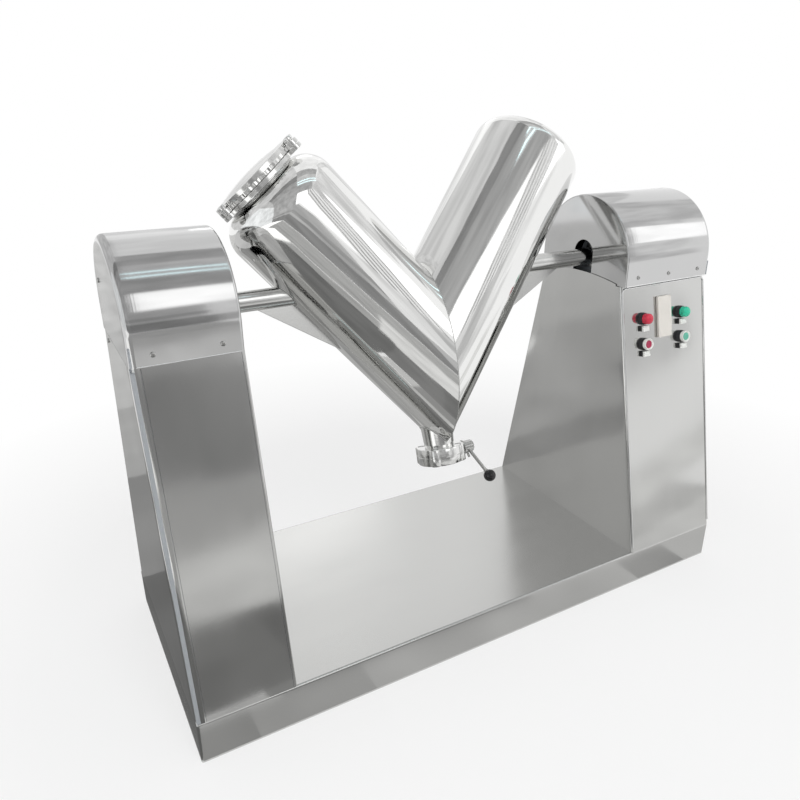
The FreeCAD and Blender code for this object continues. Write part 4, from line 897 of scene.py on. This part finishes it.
# Discharge valve: two lobed body halves bolted together round the seat, milled and polished.
# The bolt heads sit in counterbores; a gland on one side carries the lever's stem.
valve_frame = vessel_place @ Matrix.Translation((crotch.x, 0, -0.3657))
stem_frame = valve_frame @ Matrix.Rotation(pi / 2, 4, "Y")
half_high = 0.0175
bolt_circle = 0.040
body_radius = 0.0475
lobe_radius = 0.0125
bore_edge = 0.028
seat_edge = 0.031
gland_radius = 0.011


def lobed(grow, count=240):
    """Outline of the valve body: a disc with four rounded bolt lobes."""
    reaches = []
    for turn in turns(count):
        near = remainder(turn - pi / 4, pi / 2)
        reach = body_radius + grow
        lobe = lobe_radius + grow
        across = bolt_circle * sin(near)
        if abs(across) < lobe:
            reach = max(reach, bolt_circle * cos(near) + sqrt(lobe ** 2 - across ** 2))
        reaches.append(reach)
    return round_line(reaches)


def valve_half(name, way, node):
    """One half of the body, from the parting line outwards along the pipe."""
    mesh = bmesh.new()
    levels = ((-0.0005, 0.0), (0.0, 0.0005), (0.0, half_high - 0.0015), (-0.0004, half_high - 0.0007),
              (-0.0015, half_high))
    bore = ((bore_edge + 0.0006, half_high), (bore_edge, half_high - 0.0006), (bore_edge, 0.0095),
            (seat_edge, 0.0095), (seat_edge, 0.0))
    lines = [(lobed(grow), h) for grow, h in levels]
    lines += [(circle(r, 0.0, len(lines[0][0])), h) for r, h in bore]
    rings = [[(point.x, point.y, way * h) for point in line] for line, h in lines]
    loft(mesh, rings, valve_frame, closed=True)
    piece = finished(name, mesh, angle=28)
    cutter_mesh = bmesh.new()
    low, high = sorted((way * (half_high - 0.0056), way * (half_high + 0.002)))
    for i in range(4):
        turn = radians(45 + 90 * i)
        spot = Matrix.Translation((bolt_circle * cos(turn), bolt_circle * sin(turn), 0))
        add_turned(cutter_mesh, [(0, low), (0.0071, low), (0.0071, high), (0, high)], valve_frame @ spot, 40)
    cutter = finished("counterbores", cutter_mesh)
    cut = piece.modifiers.new("counterbores", "BOOLEAN")
    cut.operation = "DIFFERENCE"
    cut.solver = "EXACT"
    cut.object = cutter
    applied(piece, 28)
    bpy.data.objects.remove(cutter)
    mesh = bmesh.new()
    mesh.from_mesh(piece.data)
    half_round = [(-way * x, y) for x, y in arc((0, 0), gland_radius, -90, 90, 32)]
    add_slab(mesh, half_round[::-way], 0.040, 0.0538, stem_frame, 0.0005)
    bmesh.ops.recalc_face_normals(mesh, faces=mesh.faces)
    mesh.to_mesh(piece.data)
    mesh.free()
    smoothed(piece.data, 28)
    fit(piece, valve_steel, "vessel", "machined_steel", node)


valve_steel = polished_steel("polished valve body", (0.78, 0.78, 0.77), 0.11, 0.03, (0, 0, 0))
valve_half("valve_upper_half", 1, "valve_body_upper")
valve_half("valve_lower_half", -1, "valve_body_lower")
finish_nodes(bare_steel, "valve_bolts", "valve_disc")


# Valve handle: a fluted hub clamped on the stem, a locating pin, a thin rod and a black ball.
# Hub and rod are turned stainless; the ball is moulded phenolic with a flat where the rod enters.
lever_turn = radians(36)
lever_way = Vector((0, -cos(lever_turn), -sin(lever_turn)))
hub_start = 0.0574
hub_middle = Vector((hub_start + 0.009, 0, 0))


def toward(origin, way):
    """A frame of the valve with its z axis along a direction."""
    return valve_frame @ Matrix.Translation(origin) @ way.to_track_quat("Z", "Y").to_matrix().to_4x4()


def fluted(radius, flutes, depth, count=192):
    """Outline of a round bar with rounded flutes cut along it."""
    return round_line([radius - depth * max(0.0, cos(flutes * turn)) ** 1.5 for turn in turns(count)])


def moulded_plastic(name, tint, roughness, grain_scale, mottle):
    """Moulded plastic with a slightly uneven gloss."""
    return grained(name, tint, 0.0, (grain_scale, 4.0), (1 - mottle, 1 + mottle),
                   (roughness * 0.8, roughness * 1.25), (0.1, 0.0002))


collar_mesh = bmesh.new()
add_slab(collar_mesh, fluted(0.0155, 16, 0.0016), 0.0542, 0.0572, stem_frame, 0.0004)
collar = finished("valve_index_collar", collar_mesh, angle=30)
fit(collar, bare_steel, "vessel", "machined_steel", "valve_index_plate")
hub_mesh = bmesh.new()
add_slab(hub_mesh, fluted(0.0128, 12, 0.0016), hub_start, hub_start + 0.0210, stem_frame, 0.0014)
pin_way = Vector((0, -sin(lever_turn), -cos(lever_turn) * 1.4)).normalized()
add_turned(hub_mesh, [(0, 0.0085), (0.0025, 0.0085), (0.0025, 0.0232), (0.0018, 0.0240), (0, 0.0240)],
           toward(hub_middle - Vector((0.004, 0, 0)), pin_way), 32)
fit(finished("handle_hub", hub_mesh, angle=30), bare_steel, "valve", "machined_steel", "lever_hub")
rod_profile = [(0, 0.0092), (0.0045, 0.0092), (0.0045, 0.0120), (0.0035, 0.0130), (0.0035, 0.0730),
               (0.0046, 0.0750), (0.0046, 0.0800), (0, 0.0800)]
rod = turned("handle_rod", rod_profile, toward(hub_middle, lever_way), 40, 30)
fit(rod, bare_steel, "valve", "machined_steel", "valve_lever")
black_phenolic = moulded_plastic("black phenolic", (0.010, 0.010, 0.011), 0.12, 90.0, 0.3)
ball_radius = 0.0125
lever_length = 0.091
ball_profile = [(0, -0.0118), (0.0040, -0.0118), *arc((0, 0), ball_radius, -66, 90, 20)[:-1],
                (0, ball_radius)]
ball = turned("handle_ball", ball_profile, toward(hub_middle + lever_way * lever_length, lever_way), 64, 35)
fit(ball, black_phenolic, "valve", "black_plastic", "lever_ball")


# Control devices: two domed lamps over two push buttons, each on a black base with a white tag.
# Red on one side and green on the other, moulded plastic throughout, set square to the sloping cover.
black_device = moulded_plastic("black device plastic", (0.02, 0.02, 0.022), 0.4, 200.0, 0.25)
white_device = moulded_plastic("white device plastic", (0.82, 0.83, 0.80), 0.35, 200.0, 0.04)
red_lens = moulded_plastic("red lens", (0.62, 0.035, 0.07), 0.16, 60.0, 0.18)
green_lens = moulded_plastic("green lens", (0.03, 0.53, 0.33), 0.16, 60.0, 0.18)
red_cap = moulded_plastic("red cap", (0.40, 0.02, 0.075), 0.3, 120.0, 0.15)
green_cap = moulded_plastic("green cap", (0.12, 0.46, 0.34), 0.3, 120.0, 0.15)

columns = (0.446, 0.566)
lamp_station, button_station = 0.553, 0.4955
base_mesh, tag_mesh, insert_mesh, ring_mesh = (bmesh.new() for i in range(4))
holder = [*arc((-0.0082, -0.0272), 0.0008, 180, 270, 4), *arc((0.0082, -0.0272), 0.0008, -90, 0, 4),
          *arc((0.0082, -0.0168), 0.0008, 0, 90, 4), *arc((-0.0082, -0.0168), 0.0008, 90, 180, 4)]
insert = [(-0.0092, -0.0280), (0.0092, -0.0280), (0.0092, -0.0162), (-0.0092, -0.0162)]
for station, hole in ((lamp_station, 0.0), (button_station, 0.0089)):
    for across in columns:
        spot = on_cover(across, station)
        base_profile = [(hole, -0.0140), (0.0106, -0.0140), (0.0108, -0.0002), (0.0134, 0.0),
                        (0.0140, 0.0006), (0.0140, 0.0040), (0.0134, 0.0046), (0.0134, 0.0084),
                        (0.0126, 0.0098), (hole, 0.0098)]
        add_turned(base_mesh, base_profile, spot, 64, closed=hole > 0)
        add_slab(tag_mesh, holder, 0.0002, 0.0070, spot, 0.0005)
        add_slab(insert_mesh, insert, 0.0064, 0.0118, spot, 0.0005)
        if hole:
            add_turned(ring_mesh, [(hole, 0.0099), (0.0120, 0.0099), (0.0124, 0.0104), (0.0130, 0.0180),
                                   (0.0126, 0.0188), (0.0118, 0.0190), (0.0094, 0.0176), (hole, 0.0168)],
                       spot, 64, closed=True)
for mesh, name, paint, slot_name, node in (
        (base_mesh, "device_base_rings", black_device, "black_plastic", "device_bases"),
        (tag_mesh, "device_tag_holders", black_device, "black_plastic", "tag_holders"),
        (insert_mesh, "device_tag_inserts", white_device, "white_plastic", "tag_inserts"),
        (ring_mesh, "device_button_rings", white_device, "white_plastic", "button_rings")):
    fit(finished(name, mesh, angle=32), paint, "stand", slot_name, node)
finish_nodes(black_device, "contact_blocks")
dome = [(0, 0.0099), (0.0112, 0.0099), (0.0120, 0.0106), (0.0120, 0.0150), (0.0117, 0.0154), (0.0120, 0.0158),
        (0.0120, 0.0186), (0.0117, 0.0190), (0.0119, 0.0196),
        *((r, 0.0196 + 0.0072 / 0.0119 * h) for r, h in arc((0, 0), 0.0119, 0, 90, 14)[1:-1]), (0, 0.0268)]
push = [(0, 0.0071), (0.0082, 0.0071), (0.0086, 0.0075), (0.0086, 0.0172), (0.0082, 0.0178), (0.0074, 0.0180),
        (0.0060, 0.0177), (0, 0.0173)]
for word, across, lens in (("red", columns[0], red_lens), ("green", columns[1], green_lens)):
    lamp_dome = turned(word + "_lamp_lens_dome", dome, on_cover(across, lamp_station), 72, 40)
    fit(lamp_dome, lens, "stand", word + "_plastic", word + "_lamp_lens")
for word, across, cap in (("red", columns[0], red_cap), ("green", columns[1], green_cap)):
    button = turned(word + "_button_cap_push", push, on_cover(across, button_station), 64, 32)
    fit(button, cap, word + "_button", word + "_plastic", word + "_button_cap")


# Blank plate: a cream moulded cover with rounded corners, left bare.
# It is screwed on from behind the front cover, between the two columns of devices.
cream = moulded_plastic("cream plate plastic", (0.76, 0.73, 0.68), 0.38, 140.0, 0.03)
plate_mesh = bmesh.new()
plate_corner = 0.003
plate_outline = []
for x, y, start in ((-0.018, -0.044, 180), (0.018, -0.044, 270), (0.018, 0.044, 0), (-0.018, 0.044, 90)):
    plate_outline += arc((x, y), plate_corner, start, start + 90, 6)
add_slab(plate_mesh, plate_outline, 0.0002, 0.0080, on_cover(0.511, 0.550), 0.0012)
fit(finished("cream_plate_cover", plate_mesh, angle=32), cream, "stand", "cream_plate", "blank_plate")


# Studio: a white floor and room, one soft key, and grey cards that only the metal sees.
# The camera stands where the photograph was taken.
def shown_rays(tree):
    """1 for camera, glossy and transmission rays, and 0 for the light that falls on things."""
    paths = tree.nodes.new("ShaderNodeLightPath")
    value = paths.outputs["Is Camera Ray"]
    for ray in ("Is Glossy Ray", "Is Transmission Ray"):
        larger = tree.nodes.new("ShaderNodeMath")
        larger.operation = "MAXIMUM"
        tree.links.new(value, larger.inputs[0])
        tree.links.new(paths.outputs[ray], larger.inputs[1])
        value = larger.outputs["Value"]
    return value


def show(tree, share, lit, shown, output):
    """Send a mix of what is lit and what is shown to an output."""
    both = tree.nodes.new("ShaderNodeMixShader")
    for value, socket in ((share, both.inputs["Fac"]), (lit, both.inputs[1]), (shown, both.inputs[2])):
        tree.links.new(value, socket)
    tree.links.new(both.outputs["Shader"], tree.nodes[output].inputs["Surface"])


def white_floor(name, tint):
    """White for the camera and for reflections, less so near the object, where its shadow shows."""
    material, tree, shader, place = new_finish(name)
    shader.inputs["Base Color"].default_value = (*tint, 1)
    shader.inputs["Roughness"].default_value = 0.9
    glow = tree.nodes.new("ShaderNodeEmission")
    glow.inputs["Color"].default_value = (1, 1, 1, 1)
    far = tree.nodes.new("ShaderNodeVectorMath")
    far.operation = "LENGTH"
    tree.links.new(place, far.inputs[0])
    share = product(tree, shown_rays(tree), spread(tree, far.outputs["Value"], 0.62, 1.0, 0.9, 1.7))
    show(tree, share, shader.outputs["BSDF"], glow.outputs["Emission"], "Material Output")
    return material


floor_data = bpy.data.meshes.new("floor")
floor_data.from_pydata([(-9, -9, 0), (9, -9, 0), (9, 9, 0), (-9, 9, 0)], [], [(0, 1, 2, 3)])
floor_data.materials.append(white_floor("white floor", (0.92, 0.92, 0.92)))
floor = put_in("floor", floor_data)
floor.location.z = -0.0005

world = bpy.data.worlds.new("white room")
bpy.context.scene.world = world
world.use_nodes = True
sky = world.node_tree
ground = sky.nodes["Background"]
ground.inputs["Color"].default_value = (0.80, 0.80, 0.80, 1)
ground.inputs["Strength"].default_value = 0.80
white = sky.nodes.new("ShaderNodeBackground")
white.inputs["Color"].default_value = (1, 1, 1, 1)
show(sky, shown_rays(sky), ground.outputs["Background"], white.outputs["Background"], "World Output")


def card(name, corners, shade, tint, mottle, patch):
    """A matt, faintly patchy studio card, seen only in the metal's reflections.
    It glows at the level that it would be lit to."""
    material, tree, shader, place = new_finish(name + " card")
    tree.nodes.remove(shader)
    glow = tree.nodes.new("ShaderNodeEmission")
    patches = spread(tree, noise(tree, place, patch), 0.0, 1.0, 0.35, 0.65)
    shades(tree, patches, tint, shade * (1 - mottle), shade * (1 + mottle), glow.inputs["Color"])
    tree.links.new(glow.outputs["Emission"], tree.nodes["Material Output"].inputs["Surface"])
    data = bpy.data.meshes.new(name + "_card")
    data.from_pydata(corners, [], [(0, 1, 2, 3)])
    data.materials.append(material)
    piece = put_in(name + "_card", data)
    piece.visible_camera = False
    piece.visible_diffuse = False
    piece.visible_shadow = False
    piece.visible_transmission = False


def strip(name, start, end, low, high, shade, tint=(1, 1, 1), distance=6.0):
    """A card along the shaft's direction: from start to end, and between two angles in degrees
    round the shaft's line, where 0 is the operator's side and 90 is overhead."""
    (front, foot), (back, head) = ((-distance * cos(turn), shaft_level + distance * sin(turn))
                                   for turn in (radians(low), radians(high)))
    corners = [(start, front, foot), (end, front, foot), (end, back, head), (start, back, head)]
    card(name, corners, shade, tint, 0.06 if shade > 0.9 else 0.14, 0.9)


for name, start, end, low, high, shade in (
        ("low_wall_left", -7.0, 1.5, -9, 3.5, 0.27), ("low_wall_middle", 1.5, 4.6, -7, 3, 0.46),
        ("low_wall_right", 4.6, 8.5, -7, 3, 0.76), ("wall_left", -7.0, 1.2, 3.5, 19, 0.49),
        ("wall_middle", 1.2, 3.4, 3, 19, 0.80), ("wall_dark", 3.4, 5.2, 3, 19, 0.58),
        ("wall_right", 5.2, 8.5, 3, 24, 0.90), ("wall_by_window", -7.0, -0.25, 19, 44.5, 0.45),
        ("window", -0.25, 2.3, 21, 43, 1.60), ("window_row", 2.3, 5.2, 19, 46, 0.95),
        ("second_window", 5.2, 9.8, 25, 54, 1.62), ("window_head", -7.0, 3.6, 44.5, 63, 0.42),
        ("second_head", 3.6, 5.2, 46, 63, 0.66), ("third_head", 5.2, 7.8, 55, 63, 0.82),
        ("roof_left", -7.0, -0.3, 63, 78, 0.38), ("roof_middle", -0.3, 4.5, 63, 84, 0.62),
        ("roof_right", 4.5, 10.0, 63, 112, 0.75), ("far_beam", 10.0, 14.0, 80, 104, 0.50),
        ("beam_left", -7.0, -0.3, 78, 92, 0.25), ("beam_middle", -0.3, 4.5, 84, 101, 0.45),
        ("back_roof_left", -7.0, -0.3, 92, 180, 0.66), ("back_roof_middle", -0.3, 3.8, 101, 139, 0.95),
        ("back_wall_middle", -0.3, 3.8, 139, 156, 1.08), ("back_wall_low", -0.3, 3.8, 156, 160, 0.98),
        ("back_low_middle", -0.3, 3.8, 160, 180, 0.88), ("back_wall_right", 3.8, 5.4, 112, 180, 0.78)):
    strip(name, start, end, low, high, shade)
for i, place in enumerate((2.45, 2.95, 3.5, 4.1, 4.8)):
    strip(f"window_bar_{i}", place, place + 0.22, 19, 46, 0.42, distance=5.95)
strip("lower_line", -7.0, 1.2, 6.5, 10.5, 0.36, distance=5.7)
strip("back_window", 0.9, 2.4, 151, 157, 2.0, distance=5.7)
for i, angle in enumerate((65.0, 71.0)):
    strip(f"roof_light_{i}", -0.3, 4.5, angle, angle + 1.8, 1.7, (0.78, 1.0, 1.04), 5.6)


# Floor cards glow just above the floor and are seen only in reflections. The dark ones close round the base
# are painted shadow of the machine on the floor. The others give the floor's reflection its darker and
# lighter patches.
for name, left, right, front, back, shade in (
        ("edge_left", -0.650, -0.54, -0.34, -0.2585, 0.40), ("edge_next", -0.54, -0.30, -0.34, -0.2585, 0.52),
        ("edge_middle", -0.30, 0.42, -0.34, -0.2585, 0.62), ("edge_patch", 0.42, 0.58, -0.34, -0.2585, 0.44),
        ("edge_right", 0.58, 0.9, -0.34, -0.2585, 0.68), ("bright_left", -0.62, -0.47, -0.50, -0.35, 0.58),
        ("under_middle", -0.47, 0.15, -0.51, -0.34, 0.30), ("bright_right", 0.15, 1.3, -0.62, -0.34, 0.72),
        ("dark_corner", -1.5, -0.64, -1.25, -0.34, 0.17), ("dark_left", -0.64, -0.36, -1.15, -0.51, 0.22),
        ("dark_middle", -0.36, 0.15, -1.15, -0.51, 0.19), ("bright_corner", -3.6, -1.5, -1.8, -0.2, 1.35),
        ("grey_right", 0.15, 1.3, -1.0, -0.62, 0.62), ("pale_right", 0.15, 3.0, -1.7, -1.0, 0.80),
        ("middle_left", -1.5, -0.75, -1.75, -1.25, 0.40), ("middle_next", -0.75, 0.15, -1.75, -1.15, 0.74),
        ("far_dark", -3.0, -0.75, -2.6, -1.8, 0.40), ("far_next", -0.75, 1.2, -2.6, -1.75, 0.74),
        ("far_left", -3.0, 1.2, -5.6, -2.6, 0.44), ("far_corner", -6.9, -3.0, -5.6, -1.8, 1.35),
        ("by_left_end", -1.2, -0.6505, -0.34, 0.35, 0.16), ("beside_left", -1.7, -0.6505, 0.35, 0.9, 0.27),
        ("behind_near", -0.6505, 0.3, 0.260, 0.55, 0.34), ("behind_middle", -0.6505, 0.3, 0.55, 1.3, 0.46),
        ("behind_left", -1.7, -0.6505, 0.9, 1.5, 0.44), ("behind_far", -3.0, 0.3, 1.5, 2.6, 0.56),
        ("behind_end", -6.0, 0.3, 2.6, 6.0, 0.66)):
    corners = [(left, front, 0.003), (right, front, 0.003), (right, back, 0.003), (left, back, 0.003)]
    card(name + "_floor", corners, shade, (1, 1, 0.99), 0.12, 3.0)
for name, low, high, shade, tint in (("left_wall", 0, 5, 0.95, (0.97, 0.99, 1.0)),
                                     ("left_roof", 5, 18, 0.60, (1, 1, 1))):
    corners = [(-7, -9, low), (-7, 9, low), (-7, 9, high), (-7, -9, high)]
    card(name, corners, shade, tint, 0.15, 0.8)

lamp_data = bpy.data.lights.new("soft_key", "AREA")
lamp_data.shape = "RECTANGLE"
lamp_data.size = 2.2
lamp_data.size_y = 1.6
lamp_data.energy = 45
lamp = put_in("soft_key", lamp_data)
lamp.location = (-0.6, -2.4, 3.0)
lamp.visible_glossy = False
lamp.rotation_euler = (Vector((0, 0, 0.5)) - lamp.location).to_track_quat("-Z", "Y").to_euler()

camera_data = bpy.data.cameras.new("photo_camera")
camera_data.sensor_width = 36
camera_data.lens = 31.66
camera = put_in("photo_camera", camera_data)
pitch, yaw, roll = 0.3929, 0.5033, -0.0083
aim = Matrix.Rotation(-yaw, 4, "Z") @ Matrix.Rotation(pi / 2 - pitch, 4, "X") @ Matrix.Rotation(roll, 4, "Z")
camera.matrix_world = Matrix.Translation((-0.7756, -1.2255, 1.0719)) @ aim
bpy.context.scene.camera = camera
bpy.context.scene.view_settings.view_transform = "Standard"


# The box round every shown mesh in metres: its low corner, then its high corner.
low = [1e9] * 3
high = [-1e9] * 3
for piece in bpy.context.scene.objects:
    if piece.type != "MESH" or piece.name == "floor" or "_card" in piece.name or piece.hide_render:
        continue
    for corner in piece.bound_box:
        point = piece.matrix_world @ Vector(corner)
        low = [min(a, b) for a, b in zip(low, point)]
        high = [max(a, b) for a, b in zip(high, point)]
